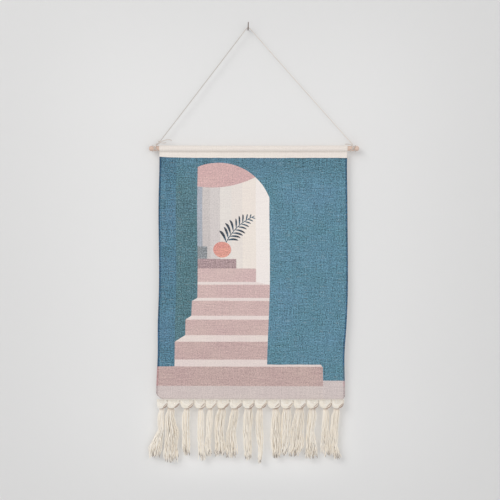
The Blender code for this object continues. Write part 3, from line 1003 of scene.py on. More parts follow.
@dataclass(frozen=True)
class WallPaint:
    """Matte pale paint of the wall and floor, with the faint texture of a roller.

    With glow, light is painted on it: it is a little brighter behind the object, fading outwards, and
    brighter again in a patch behind the tassels, over their shadows. Metres.
    """

    colour: Colour = tone(219, 219, 219)
    one_sided: bool = True
    glow: float = 0.10
    base: float = 0.955
    halo_half: tuple[float, float] = (0.22, 0.33)
    halo_drop: float = 0.55
    halo_reach: float = 0.46
    patch_drop: float = 0.96
    patch_down: tuple[float, float] = (0.16, 0.02)
    patch_out: tuple[float, float] = (0.30, 0.12)
    patch_glow: float = 1.7

    def material(self) -> bpy.types.Material:
        """Makes the finish. A one-sided surface isn't seen from behind.

        Returns:
            The material.
        """
        nodes = Nodes("wall_paint" if self.one_sided else "floor_paint")
        spot = nodes.add("TexCoord").outputs["Object"]
        fine = nodes.value(nodes.add("TexNoise", None, {"Vector": spot, "Scale": 260.0}).outputs[0])
        parts = nodes.add("SeparateXYZ", None, {"Vector": spot})
        x, z = nodes.value(parts.outputs[0]), nodes.value(parts.outputs[2])
        across = (abs(x) - self.halo_half[0]).most(0.0)
        down = (abs(z + self.halo_drop) - self.halo_half[1]).most(0.0)
        far = (across * across + down * down) ** 0.5
        # painted light: a brighter patch behind the tassels, over their shadows
        patch = abs(z + self.patch_drop).rise(*self.patch_down)
        patch = patch * abs(x).rise(*self.patch_out) * self.glow * self.patch_glow
        # painted light: brighter behind the object, fading outwards
        bright = self.base + far.rise(self.halo_reach, 0.0) * self.glow + patch + fine * 0.01
        colour = nodes.scaled(self.colour, bright)
        inputs = {"Base Color": colour, "Roughness": 0.9, "Specular IOR Level": 0.15}
        inputs["Normal"] = nodes.bump(fine, 0.0002, 0.25)
        body = nodes.add("BsdfPrincipled", None, inputs).outputs[0]
        if self.one_sided:
            behind = nodes.add("NewGeometry").outputs["Backfacing"]
            clear = nodes.add("BsdfTransparent").outputs[0]
            body = nodes.add("MixShader", None, {0: behind, 1: body, 2: clear}).outputs[0]
        nodes.add("OutputMaterial", None, {"Surface": body})
        return nodes.material


@dataclass(frozen=True)
class NailSteel:
    """Dull brown-grey steel of a wall nail."""

    colour: Colour = tone(120, 106, 100)

    def material(self) -> bpy.types.Material:
        """Makes the finish, a little tarnished.

        Returns:
            The material.
        """
        nodes = Nodes("nail_steel")
        spot = nodes.add("TexCoord").outputs["Object"]
        tarnish = nodes.value(nodes.add("TexNoise", None, {"Vector": spot, "Scale": 700.0}).outputs[0])
        colour = nodes.scaled(self.colour, 0.75 + tarnish * 0.5)
        return nodes.finish({"Base Color": colour, "Metallic": 0.8, "Roughness": 0.35 + tarnish * 0.3})


# ---------------------------------------------------------------- the studio


@dataclass(frozen=True)
class Lamp:
    """A square area lamp."""

    name: str
    place: Point
    size: float
    power: float

    def hang(self, aim: Point, colour: Colour) -> None:
        """Hangs the lamp in the scene.

        Args:
            aim: the place that it shines at.
            colour: its light's colour.
        """
        data = bpy.data.lights.new(self.name, "AREA")
        data.shape = "SQUARE"
        data.size = self.size
        data.energy = self.power
        data.color = colour
        lamp = bpy.data.objects.new(self.name, data)
        lamp.location = self.place
        lamp.rotation_euler = (Vector(aim) - Vector(self.place)).to_track_quat("-Z", "Y").to_euler()
        bpy.context.scene.collection.objects.link(lamp)


@dataclass
class Studio:
    """The wall, the floor, the nail, the lights and the camera. None of it belongs to the object."""

    wall_gap: float = 0.008
    view_width: float = 1.1905
    view_middle: tuple[float, float] = (0.0048, -0.5293)
    camera_distance: float = 4.2
    sensor: float = 36.0
    sight: float = 60.0
    floor_drop: float = 0.42
    room_reach: float = 3.3
    room_top: float = 4.0
    nail_radius: float = 0.0017
    nail_tip_radius: float = 0.0011
    nail_rise: float = 0.0125
    fill_colour: Colour = (0.985, 0.99, 1.0)
    fill_strength: float = 0.62
    lamp_aim: Point = (0.0, 0.0, -0.5)
    lamp_colour: Colour = (1.0, 0.985, 0.965)
    lamps: tuple[Lamp, ...] = (
        Lamp("key", (-2.8, -3.9, 1.8), 3.2, 102.0),
        Lamp("front_fill", (1.8, -4.2, -0.4), 3.0, 34.0),
        Lamp("back_fill", (2.4, 4.4, 1.8), 3.0, 128.0),
    )
    paints: ClassVar[dict[str, Colour]] = {
        "far_wall": tone(246, 246, 246),
        "floor": tone(228, 228, 228),
    }

    def build(self) -> None:
        """Sets everything up."""
        low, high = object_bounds()
        wall, floor = high.y + self.wall_gap, low.z - self.floor_drop
        self._camera()
        self._room(wall, floor)
        self._nail(wall)
        self._lights()
        LOG.info("studio: wall at %.4f m, floor at %.3f m", wall, floor)

    def _camera(self) -> None:
        """A long lens square to the wall."""
        data = bpy.data.cameras.new("front_camera")
        data.sensor_width = self.sensor
        data.lens = self.sensor * self.camera_distance / self.view_width
        data.clip_end = self.sight
        camera = bpy.data.objects.new("front_camera", data)
        camera.location = (self.view_middle[0], -self.camera_distance, self.view_middle[1])
        camera.rotation_euler = (math.pi / 2, 0.0, 0.0)
        bpy.context.scene.collection.objects.link(camera)
        bpy.context.scene.camera = camera

    def _room(self, wall: float, floor: float) -> None:
        """Puts the wall close behind the object, the floor well below it and plain paint all round.

        Args:
            wall: the wall's Y.
            floor: the floor's Z.
        """
        r, top = self.room_reach, self.room_top
        sheets = {
            "wall": [(-r, wall, floor), (r, wall, floor), (r, wall, top), (-r, wall, top)],
            "far_wall": [(r, -r, floor), (-r, -r, floor), (-r, -r, top), (r, -r, top)],
            "left_wall": [(-r, -r, floor), (-r, r, floor), (-r, r, top), (-r, -r, top)],
            "right_wall": [(r, r, floor), (r, -r, floor), (r, -r, top), (r, r, top)],
            "floor": [(-r, -r, floor), (r, -r, floor), (r, r, floor), (-r, r, floor)],
        }
        for name, corners in sheets.items():
            mesh = bpy.data.meshes.new(name)
            mesh.from_pydata(corners, [], [(0, 1, 2, 3)])
            colour = self.paints.get(name, WallPaint.colour)
            glow = WallPaint.glow if name == "wall" else 0.0
            mesh.materials.append(WallPaint(colour, name != "floor", glow).material())
            thing = bpy.data.objects.new(name, mesh)
            bpy.context.scene.collection.objects.link(thing)
            thing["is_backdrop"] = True
            if name != "floor":
                thing.visible_diffuse = thing.visible_glossy = False
                thing.visible_transmission = thing.visible_shadow = False

    def _nail(self, wall: float) -> None:
        """Bends a nail upwards before the wall, with the cord lying in its bend.

        Args:
            wall: the wall's Y.
        """
        skein = Skein()
        under = HangingCord.diameter / 2 + self.nail_radius
        route = [
            (0.0003, wall + 0.004, -under),
            (0.0003, wall / 2, -under),
            (0.0003, -0.0012, -under),
            (0.0004, -0.0054, 0.0010 - under),
            (0.0005, -0.0078, 0.0022),
            (0.0009, -0.0090, self.nail_rise),
        ]
        line = even_line(smooth_line(route, 0.0006), 0.0006)
        radii = np.linspace(self.nail_radius, self.nail_tip_radius, len(line))
        radii[-2:] *= (0.94, 0.7)
        skein.strand(line, radii, sides=24)
        nail = skein.piece("wall_nail", NailSteel().material())
        nail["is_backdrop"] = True

    def _lights(self) -> None:
        """Soft even light with a broad key from the upper left, and a softer one for the back."""
        world = bpy.data.worlds.new("room_light")
        world.use_nodes = True
        fill = world.node_tree.nodes["Background"]
        fill.inputs["Color"].default_value = (*self.fill_colour, 1.0)
        fill.inputs["Strength"].default_value = self.fill_strength
        bpy.context.scene.world = world
        for lamp in self.lamps:
            lamp.hang(self.lamp_aim, self.lamp_colour)
        settings = bpy.context.scene.view_settings
        settings.view_transform = "Standard"
        settings.look = "None"


# ---------------------------------------------------------------- the dowel


@dataclass
class Dowel:
    """The wooden rod. Its CAD shape is right, so it only gets its finish."""

    node: str = "dowel"

    def dress(self) -> None:
        """Puts the wood on the CAD rod."""
        rod = frame["nodes"][self.node]
        rod.data.materials.clear()
        rod.data.materials.append(Hardwood().material())
        LOG.info("dowel: finish on the CAD rod")


# ---------------------------------------------------------------- the cloth


@dataclass(frozen=True)
class Roll:
    """A bottom corner that has rolled back about a rounded fold. Metres.

    inset and rise say how far in from the side, and how far up from the bottom, the fold begins.
    """

    inset: float
    rise: float
    radius: float


@dataclass
class Cloth:
    """The cloth, cut as one flat piece: printed panel, sleeve round the dowel and turned-back allowance."""

    width: float = 0.450
    thickness: float = 0.0010
    seam_drop: float = 0.0080
    sleeve_ease: float = 0.0003
    allowance: float = 0.012
    print_zero: float = 0.2786  # how far below the nail the print's own distances begin
    print_length: float = 0.607
    layer_offset: float = 0.55  # how far each layer hangs before or behind the axis, in thicknesses
    seam_pull: float = 0.0017  # how far the stitches draw the sides in
    left_lift: float = 0.0020  # how far the bottom edge is drawn up at its left
    sag: float = 0.0004
    wave: float = 0.0011
    stitch_length: float = 0.0030
    stitch_gap: float = 0.0009
    stitch_margin: float = 0.004
    thread_radius: float = 0.00026
    left_roll: Roll = Roll(0.026, 0.025, 0.0026)
    right_roll: Roll = Roll(0.013, 0.023, 0.0028)
    lean: float = -0.0068

    def _places_across(self) -> np.ndarray:
        """Distances across the cloth, closer together near its side edges."""
        near = np.linspace(0, 0.036, 25)
        return np.concatenate([near, np.linspace(0.040, self.width - 0.040, 94), self.width - near[::-1]])

    def _profile(self) -> tuple[np.ndarray, np.ndarray, np.ndarray]:
        """The cloth's path from its bottom edge up the front, round the dowel and down the back.

        Returns:
            Distances down the print, and the Y and Z of the middle of the cloth's thickness.
        """
        low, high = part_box("dowel")
        axis, rod = (low.z + high.z) / 2, (high.z - low.z) / 2
        reach = rod + self.sleeve_ease + self.thickness / 2
        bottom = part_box("tapestry_panel")[0].z
        seam = axis - self.seam_drop
        rises = np.concatenate([np.linspace(0, 0.042, 29)[:-1], np.linspace(0.042, seam - bottom, 150)])
        back = self.thickness * self.layer_offset
        z = list(bottom + rises)
        y = [-back * float(ease((h - seam + 0.05) / 0.04)) for h in z]
        tilt = math.acos(reach / self.seam_drop)
        start = np.array((-back, seam))
        stop = np.array((-reach * math.sin(tilt), axis - reach * math.cos(tilt)))
        for share in (0.25, 0.6, 1.0):
            spot = start + (stop - start) * share
            y.append(float(spot[0]))
            z.append(float(spot[1]))
        for angle in np.linspace(tilt, FULL_TURN - tilt, 40)[1:]:
            y.append(-reach * math.sin(angle))
            z.append(axis - reach * math.cos(angle))
        last = (y[-1], z[-1])
        for share in (0.5, 1.0):
            y.append(last[0] + (back - last[0]) * share)
            z.append(last[1] + (seam - last[1]) * share)
        for share in np.linspace(0, 1, 7)[1:]:
            y.append(back + 0.0001 * share)
            z.append(seam - self.allowance * share)
        y, z = np.array(y), np.array(z)
        along = np.concatenate([[0.0], np.cumsum(np.hypot(np.diff(y), np.diff(z)))])
        return -bottom - self.print_zero - along, y, z

    def _sides(self, v: np.ndarray) -> tuple[np.ndarray, np.ndarray]:
        """Finds where the cloth's sides hang.

        Args:
            v: distances down the print.

        Returns:
            The X of its left edge and of its right edge there.
        """
        low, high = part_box("header_front")
        middle = (low.x + high.x) / 2
        share = np.clip(v / self.print_length, 0, 1)
        shift = self.lean * ease((share - 0.55) / 0.42)
        pull = self.seam_pull * np.exp(-(((v - 0.045) / 0.055) ** 2))
        left = middle - self.width / 2 + shift + pull * 0.6 + 0.0007 * np.sin(v * 23 + 1.0)
        right = middle + self.width / 2 + shift - pull + 0.0006 * np.sin(v * 19 + 2.2)
        right = right - 0.0022 * np.exp(-(((v - 0.50) / 0.05) ** 2))
        left = left + 0.0024 * np.exp(-(((v - 0.50) / 0.055) ** 2))
        return left, right

    def _rolled(self, points: np.ndarray, u: np.ndarray, v: np.ndarray) -> np.ndarray:
        """Rolls the two bottom corners back towards the wall.

        Args:
            points: the cloth's points, which it moves.
            u: how far each is from the left edge, on the flat cloth.
            v: how far each is down the print.

        Returns:
            The same points.
        """
        rise = self.print_length - v
        for roll, inset, sign in ((self.left_roll, u, -1.0), (self.right_roll, self.width - u, 1.0)):
            out = np.maximum(roll.inset - inset, 0.0) / roll.inset
            down = np.maximum(roll.rise - rise, 0.0) / roll.rise
            ring = np.hypot(out, down) + 1e-9
            out, down = out / ring, down / ring
            past = np.maximum(ring - 1.0, 0.0) * np.hypot(out * roll.inset, down * roll.rise)
            turn = np.minimum(past / roll.radius, math.pi * 1.15)
            slide = roll.radius * np.sin(turn) - past
            points[..., 0] += sign * slide * out
            points[..., 2] -= slide * down
            points[..., 1] += roll.radius * (1 - np.cos(turn))
        return points

    def _middle(self) -> tuple[np.ndarray, np.ndarray, np.ndarray]:
        """Lays out the middle of the cloth's thickness.

        Returns:
            A grid of points, and how far each is from the flat cloth's left edge and down the print.
        """
        across = self._places_across()
        down, y, z = self._profile()
        u, v = np.meshgrid(across, down)
        crest = down[int(np.argmax(z))]
        left, right = self._sides(crest + np.abs(v - crest))
        points = np.empty((*u.shape, 3))
        share = u / self.width
        points[..., 0] = left + (right - left) * share
        loose = ease((v - 0.05) / 0.25)
        ripple = np.sin(u * 31 + 0.7 + v * 2.1) * 0.55 + np.sin(u * 14 - v * 9 + 2.0) * 0.6
        ripple += 0.35 * np.sin(v * 21 + u * 6)
        edges = np.exp(-u / 0.03) - np.exp(-(self.width - u) / 0.03)
        points[..., 1] = y[:, None] + self.wave * loose * (ripple + 0.8 * edges * np.sin(v * 17))
        low = np.clip(v / self.print_length, 0, 1) ** 3
        points[..., 2] = z[:, None] + self.left_lift * (1 - share) * low
        points[..., 2] -= self.sag * np.sin(share * math.pi) * (v < 0.03)
        return self._rolled(points, u, v), u, v

    def build(self) -> tuple[bpy.types.Object, bpy.types.Object]:
        """Builds the cloth and the stitches that close its sleeve.

        Returns:
            The cloth, then the stitching.
        """
        middle, u, v = self._middle()
        over, along = np.gradient(middle, axis=1), np.gradient(middle, axis=0)
        normal = np.cross(over, along)
        normal /= np.linalg.norm(normal, axis=2)[..., None]
        half = self.thickness / 2
        rows, cols = u.shape
        front, back = middle + normal * -half, middle + normal * half
        if front[0, cols // 2, 1] > back[0, cols // 2, 1]:
            front, back = back, front
        a = np.arange(rows * cols).reshape(rows, cols)
        b = a + rows * cols
        quads = [np.stack([a[:-1, :-1], a[:-1, 1:], a[1:, 1:], a[1:, :-1]], -1).reshape(-1, 4)]
        quads.append(np.stack([b[:-1, :-1], b[1:, :-1], b[1:, 1:], b[:-1, 1:]], -1).reshape(-1, 4))
        choice = [np.zeros(len(quads[0])), np.ones(len(quads[1]))]
        for edge_a, edge_b in ((a[0], b[0]), (b[-1], a[-1]), (b[:, 0], a[:, 0]), (a[:, -1], b[:, -1])):
            quads.append(np.stack([edge_a[:-1], edge_b[:-1], edge_b[1:], edge_a[1:]], -1))
            choice.append(np.zeros(len(quads[-1])))
        lay = np.stack([u.ravel(), v.ravel(), np.zeros(u.size)], 1)
        skein = Skein()
        points = np.vstack([front.reshape(-1, 3), back.reshape(-1, 3)])
        skein.add(points, np.vstack(quads), np.vstack([lay, lay]), np.zeros((len(points), 3)))
        finish = PrintedCotton()
        finishes = [finish.material(side) for side in (Side.FACE, Side.REVERSE)]
        cloth = skein.piece("cloth", *finishes, choice=np.concatenate(choice))
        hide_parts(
            "tapestry_panel",
            "header_front",
            "header_front_top",
            "header_back",
            "header_back_top",
            "header_seam",
        )
        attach(cloth, "banner")
        area = self.cut_length() * self.width
        LOG.info("cloth: %d faces, %.3f m2 of cloth", len(cloth.data.polygons), area)
        return cloth, self._stitching(middle)

    def cut_length(self) -> float:
        """Length of the flat cloth, with what is wrapped and turned under."""
        down = self._profile()[0]
        return float(down.max() - down.min())

    def _stitching(self, middle: np.ndarray) -> bpy.types.Object:
        """Sews one row of stitches along the seam, on the cloth's face and on its back.

        Args:
            middle: the grid of points in the middle of the cloth's thickness.

        Returns:
            The stitching.
        """
        low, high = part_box("dowel")
        seam = (low.z + high.z) / 2 - self.seam_drop
        line = middle[int(np.argmin(abs(middle[:, 5, 2] - seam) + (middle[:, 5, 1] > 0)))]
        left, right = line[0, 0] + self.stitch_margin, line[-1, 0] - self.stitch_margin
        skein = Skein()
        count = int((right - left) / (self.stitch_length + self.stitch_gap))
        for i in range(count):
            start = left + i * (right - left) / count
            xs = np.linspace(start, start + self.stitch_length, 6)
            lift = np.sin(np.linspace(0, math.pi, 6)) ** 0.6
            z = np.interp(xs, line[:, 0], line[:, 2]) + 0.0002 * math.sin(i * 1.7)
            for out in (-1.0, 1.0):
                y = out * (self.thickness + 0.0001 + 0.00022 * lift)
                skein.strand(np.stack([xs, y, z], 1), self.thread_radius)
        stitches = skein.piece("sleeve_stitching", SewingThread().material())
        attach(stitches, "banner")
        LOG.info("stitching: %d stitches on each side", count)
        return stitches


# ---------------------------------------------------------------- the knots and tassels


@dataclass(frozen=True)
class KnotRoom:
    """The room that one knot fills. Metres.

    half is half its width, depth is half its thickness, and sway is how far to the right of its top its
    foot lies.
    """

    number: int
    middle: float
    top: float
    half: float
    height: float
    depth: float
    sway: float


@dataclass
class TasselRow:
    """The warp yarns below the cloth: an overhand knot and a skirt of loose yarns at each tassel."""

    count: int = 15
    yarns: int = 50
    yarn_radius: float = 0.00088
    knot_strands: int = 10
    knot_strand_radius: float = 0.00110
    crossing_strands: int = 4
    warp_pitch: float = 0.0021
    locks: int = 6  # how many clumps a skirt's yarns gather in
    even_yarns: float = 0.85  # the share of them cut to nearly one length
    strays: float = 0.12  # the share that strays from the rest
    bend_above: float = 0.004
    bend_below: float = 0.012

    def build(self) -> list[bpy.types.Object]:
        """Builds every knot and skirt.

        Returns:
            The pieces, knots first.
        """
        finish = LooseYarn().material()
        knots, skirts = [], []
        for i in range(1, self.count + 1):
            dice = np.random.default_rng(1000 + i)
            knots.append(self._knot(i, finish, dice))
            skirts.append(self._skirt(i, finish, dice))
        LOG.info("tassels: %d knots and %d skirts of %d yarns", len(knots), len(skirts), self.yarns)
        return knots + skirts

    def _knot(self, number: int, finish: bpy.types.Material, dice: np.random.Generator) -> bpy.types.Object:
        """Builds one overhand knot.

        Args:
            number: which one, from 1 at the left.
            finish: the yarn's finish.
            dice: the tassel's own chance.

        Returns:
            The knot.
        """
        low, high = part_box(f"knot_{number:02d}")
        throat = levels(f"tassel_{number:02d}")[0]
        middle = (low.x + high.x) / 2
        room = KnotRoom(
            number=number,
            middle=middle,
            top=high.z,
            half=(high.x - low.x) / 2 + 0.0003,
            height=high.z - low.z,
            depth=(high.y - low.y) / 2,
            sway=((throat[1] + throat[2]) / 2 - middle) * 0.8 + dice.uniform(-0.0008, 0.0004),
        )
        skein = Skein()
        self._core(skein, room)
        self._turns(skein, room, dice)
        self._cross(skein, room, dice)
        self._enter(skein, room, dice)
        knot = skein.piece(f"yarn_knot_{number:02d}", finish)
        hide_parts(f"knot_{number:02d}")
        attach(knot, "banner")
        return knot

    def _core(self, skein: Skein, room: KnotRoom) -> None:
        """Fills a knot's middle, so that nothing shows through between its turns.

        Args:
            skein: the knot's mesh.
            room: the room that it fills.
        """
        r, around = self.knot_strand_radius, 20
        turn = np.linspace(0, FULL_TURN, around, endpoint=False)
        rings = []
        for share in np.linspace(0, 1, 14):
            spread = math.sqrt(max(0.0, 1 - 0.93 * share**2.4)) * (room.half - r * 0.9)
            bulge = max(0.12, math.sin(math.pi * min(0.97, share * 0.92 + 0.02)) ** 0.8)
            x = room.middle + room.sway * share**1.5 + spread * np.cos(turn)
            y = (room.depth - r * 2.4) * bulge * np.sin(turn)
            z = np.full(around, room.top + 0.0006 - (room.height - 0.0012) * share)
            rings.append(np.stack([x, y, z], 1))
        # painted shade: the core gets a little of the hollows' brown, where it shows between the turns
        skein.loft(np.array(rings)[::-1], 0.3, (0.15, 0.0, 1.0))

    def _turns(self, skein: Skein, room: KnotRoom, dice: np.random.Generator) -> None:
        """Lays the nested turns of yarn over a knot's core, each one a little fuller.

        Args:
            skein: the knot's mesh.
            room: the room that it fills.
            dice: the tassel's own chance.
        """
        r, around = self.knot_strand_radius, 34
        turn = np.linspace(0, FULL_TURN, around, endpoint=False)
        bow = np.abs(np.sin(turn))
        for k in range(self.knot_strands):
            full = 0.42 + 0.58 * k / (self.knot_strands - 1)
            shade = float(dice.uniform(0.0, 0.7))
            wide = (room.half - r) * (0.44 + 0.56 * full**0.75)
            deep = (room.depth - r * 0.4) * (0.62 + 0.38 * math.sin(math.pi * (0.15 + 0.62 * full)))
            fall = (room.height - r - 0.0012) * full
            skew = 0.0011 * math.sin(k * 1.3 + room.number)
            x = room.middle - wide * np.cos(turn) + (room.sway + skew) * bow * full
            y = -deep * np.sign(np.sin(turn)) * bow**0.62
            drop = fall * bow ** (0.62 + 0.12 * math.sin(room.number * 2.1 + k))
            z = room.top - 0.0011 - drop * np.where(np.sin(turn) > 0, 1.0, 0.94)
            z = z + 0.0006 * np.sin(turn * 3 + k)
            # painted shade: the outermost turn is painted brown at the knot's lower right, away from the
            # light
            hollow_shade = ease((x - room.middle) / room.half * 1.3 + 0.35) * ease(bow * 1.8 + 0.1)
            marks = np.stack([hollow_shade * (full > 0.95), np.zeros(around), np.ones(around)], 1)
            radius = r * (0.92 + 0.08 * full)
            skein.strand(np.stack([x, y, z], 1), radius, shade, 8, closed=True, marks=marks)

    def _cross(self, skein: Skein, room: KnotRoom, dice: np.random.Generator) -> None:
        """Lays the strands that cross a knot's front, from its upper right to its bottom.

        Args:
            skein: the knot's mesh.
            room: the room that it fills.
            dice: the tassel's own chance.
        """
        r, steps = self.knot_strand_radius, 12
        share = np.linspace(0, 1, steps)
        for j in range(self.crossing_strands):
            step = (j - 1.0) * r * 1.7
            x = room.middle + room.half * (0.86 - 1.02 * share) - step * 0.62
            x = x + dice.normal(0, 0.0001, steps)
            z = room.top - 0.0042 - (room.height - 0.0066) * share**0.92 + step * 0.7
            y = -room.depth * (0.24 + 0.79 * np.sin(math.pi * (0.02 + 0.90 * share)) ** 0.8)
            # painted shade: the first crossing strand is painted darker near its top
            marks = np.stack([0.65 * (j == 0) * ease(share * 3), 0 * share, np.ones(steps)], 1)
            skein.strand(np.stack([x, y, z], 1), r, float(dice.uniform(0, 0.6)), 8, marks=marks)

    def _enter(self, skein: Skein, room: KnotRoom, dice: np.random.Generator) -> None:
        """Leads the warp yarns from the cloth's edge into a knot's top, on its front and its back.

        Args:
            skein: the knot's mesh.
            room: the room that it fills.
            dice: the tassel's own chance.
        """
        r, steps = self.knot_strand_radius, 8
        rows = np.linspace(0, 1, steps)
        for x0 in np.arange(-room.half + r * 0.7, room.half - r * 0.6, self.warp_pitch):
            share = float(x0) / room.half
            for face in (-1.0, 1.0):
                x = room.middle + x0 * (1 - 0.18 * ease(rows)) + dice.normal(0, 0.00018, steps)
                bulge = np.sin(rows * math.pi / 2) ** 0.8 * math.sqrt(1 - 0.96 * share * share)
                y = face * (0.0003 + 0.0060 * bulge) + dice.normal(0, 0.0002)
                z = room.top + 0.0012 - 0.0105 * rows
                # painted shade: yarns at the knot's right side and near its bottom are painted darker
                hollow_shade = ease(rows * 2.4 - 0.5) * (share > 0.74) + 0.25 * ease(rows * 3 - 2)
                marks = np.stack([hollow_shade, 0 * rows, np.ones(steps)], 1)
                radius = self.warp_pitch * (0.34 + 0.18 * np.sin(rows * math.pi / 2))
                skein.strand(np.stack([x, y, z], 1), radius, float(dice.uniform(0, 0.45)), 6, marks=marks)

    def _skirt(
        self, number: int, finish: bpy.types.Material, dice: np.random.Generator
    ) -> bpy.types.Object:
        """Fills the outline of one CAD skirt with loose wavy yarns.

        Args:
            number: which one, from 1 at the left.
            finish: the yarn's finish.
            dice: the tassel's own chance.

        Returns:
            The skirt.
        """
        rings = levels(f"tassel_{number:02d}")
        heights = rings[::-1, 0]
        top, bottom = float(heights[-1]), float(heights[0])
        knot_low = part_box(f"knot_{number:02d}")[0].z
        steps = 34
        skein = Skein()
        tilt = dice.uniform(0, FULL_TURN)
        lock = [dice.uniform(0, FULL_TURN) for _ in range(self.locks)]
        for i in range(self.yarns):
            a = tilt + i * GOLDEN_ANGLE
            reach = math.sqrt((i + 0.5) / self.yarns)
            even = dice.random() < self.even_yarns
            length = dice.uniform(0.90, 1.02) if even else dice.uniform(0.78, 0.95)
            stop = top + (bottom - top) * length
            z = np.linspace(knot_low + 0.0035, stop, steps)
            share = (top - z) / (top - bottom)
            left = np.interp(z, heights, rings[::-1, 1])
            right = np.interp(z, heights, rings[::-1, 2])
            deep = np.interp(z, heights, rings[::-1, 4])
            phase, rate = dice.uniform(0, FULL_TURN, 3), dice.uniform(1.2, 3.4, 3)
            free = np.clip(share, 0, 1)
            clump = 0.16 * free * np.sin(lock[i % self.locks] + share * 7.0)
            across = reach * math.cos(a) + 0.10 * np.sin(phase[0] + rate[0] * share * 6.3) * free + clump
            inward = reach * math.sin(a) + 0.10 * np.sin(phase[1] + rate[1] * share * 6.3) * free
            x = (left + right) / 2 + ((right - left) / 2 - self.yarn_radius * 0.7) * across
            y = (deep - self.yarn_radius * 0.6) * inward
            crimp = 0.00055 * free
            x = x + crimp * np.sin(phase[2] + share * 46 + i)
            y = y + crimp * np.cos(phase[2] + share * 39 + i)
            if dice.random() < self.strays:
                stray = dice.normal(0, 0.0035)
                x = x + stray * ease((share - 0.6) / 0.5)
                y = y + 0.5 * stray * ease((share - 0.6) / 0.5)
            radius = self.yarn_radius * dice.uniform(0.86, 1.16)
            radius = radius * (1 + 0.06 * np.sin(share * 60 + phase[0]))
            radius[-2:] *= (0.86, 0.55)
            # painted shade: yarns are painted darker just under the knot, and inner yarns darker than outer
            # ones
            buried_shade = (1 - reach) * 0.5
            painted_shade = 0.6 * np.exp(-np.clip(share + 0.02, 0, 1) / 0.03) + buried_shade * 0.3
            marks = np.stack([painted_shade, np.linspace(0, 1, steps), 0 * z], 1)
            shade = float(np.clip(dice.normal(0.42, 0.2), 0, 1))
            skein.strand(np.stack([x, y, z], 1), radius, shade, 6, marks=marks)
        skirt = skein.piece(f"yarn_skirt_{number:02d}", finish)
        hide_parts(f"tassel_{number:02d}")
        joint = next(j for j in frame["joints"] if j["child"] == f"tassel_{number:02d}")
        x, y, z = joint["pos_m"]
        start, stop = (x, y, z + self.bend_above), (x, y, z - self.bend_below)
        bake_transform(skirt)
        return skirt


# ---------------------------------------------------------------- the cord


class Hand(Enum):
    """The end of the dowel that a hitch is tied round."""

    LEFT = "left"
    RIGHT = "right"


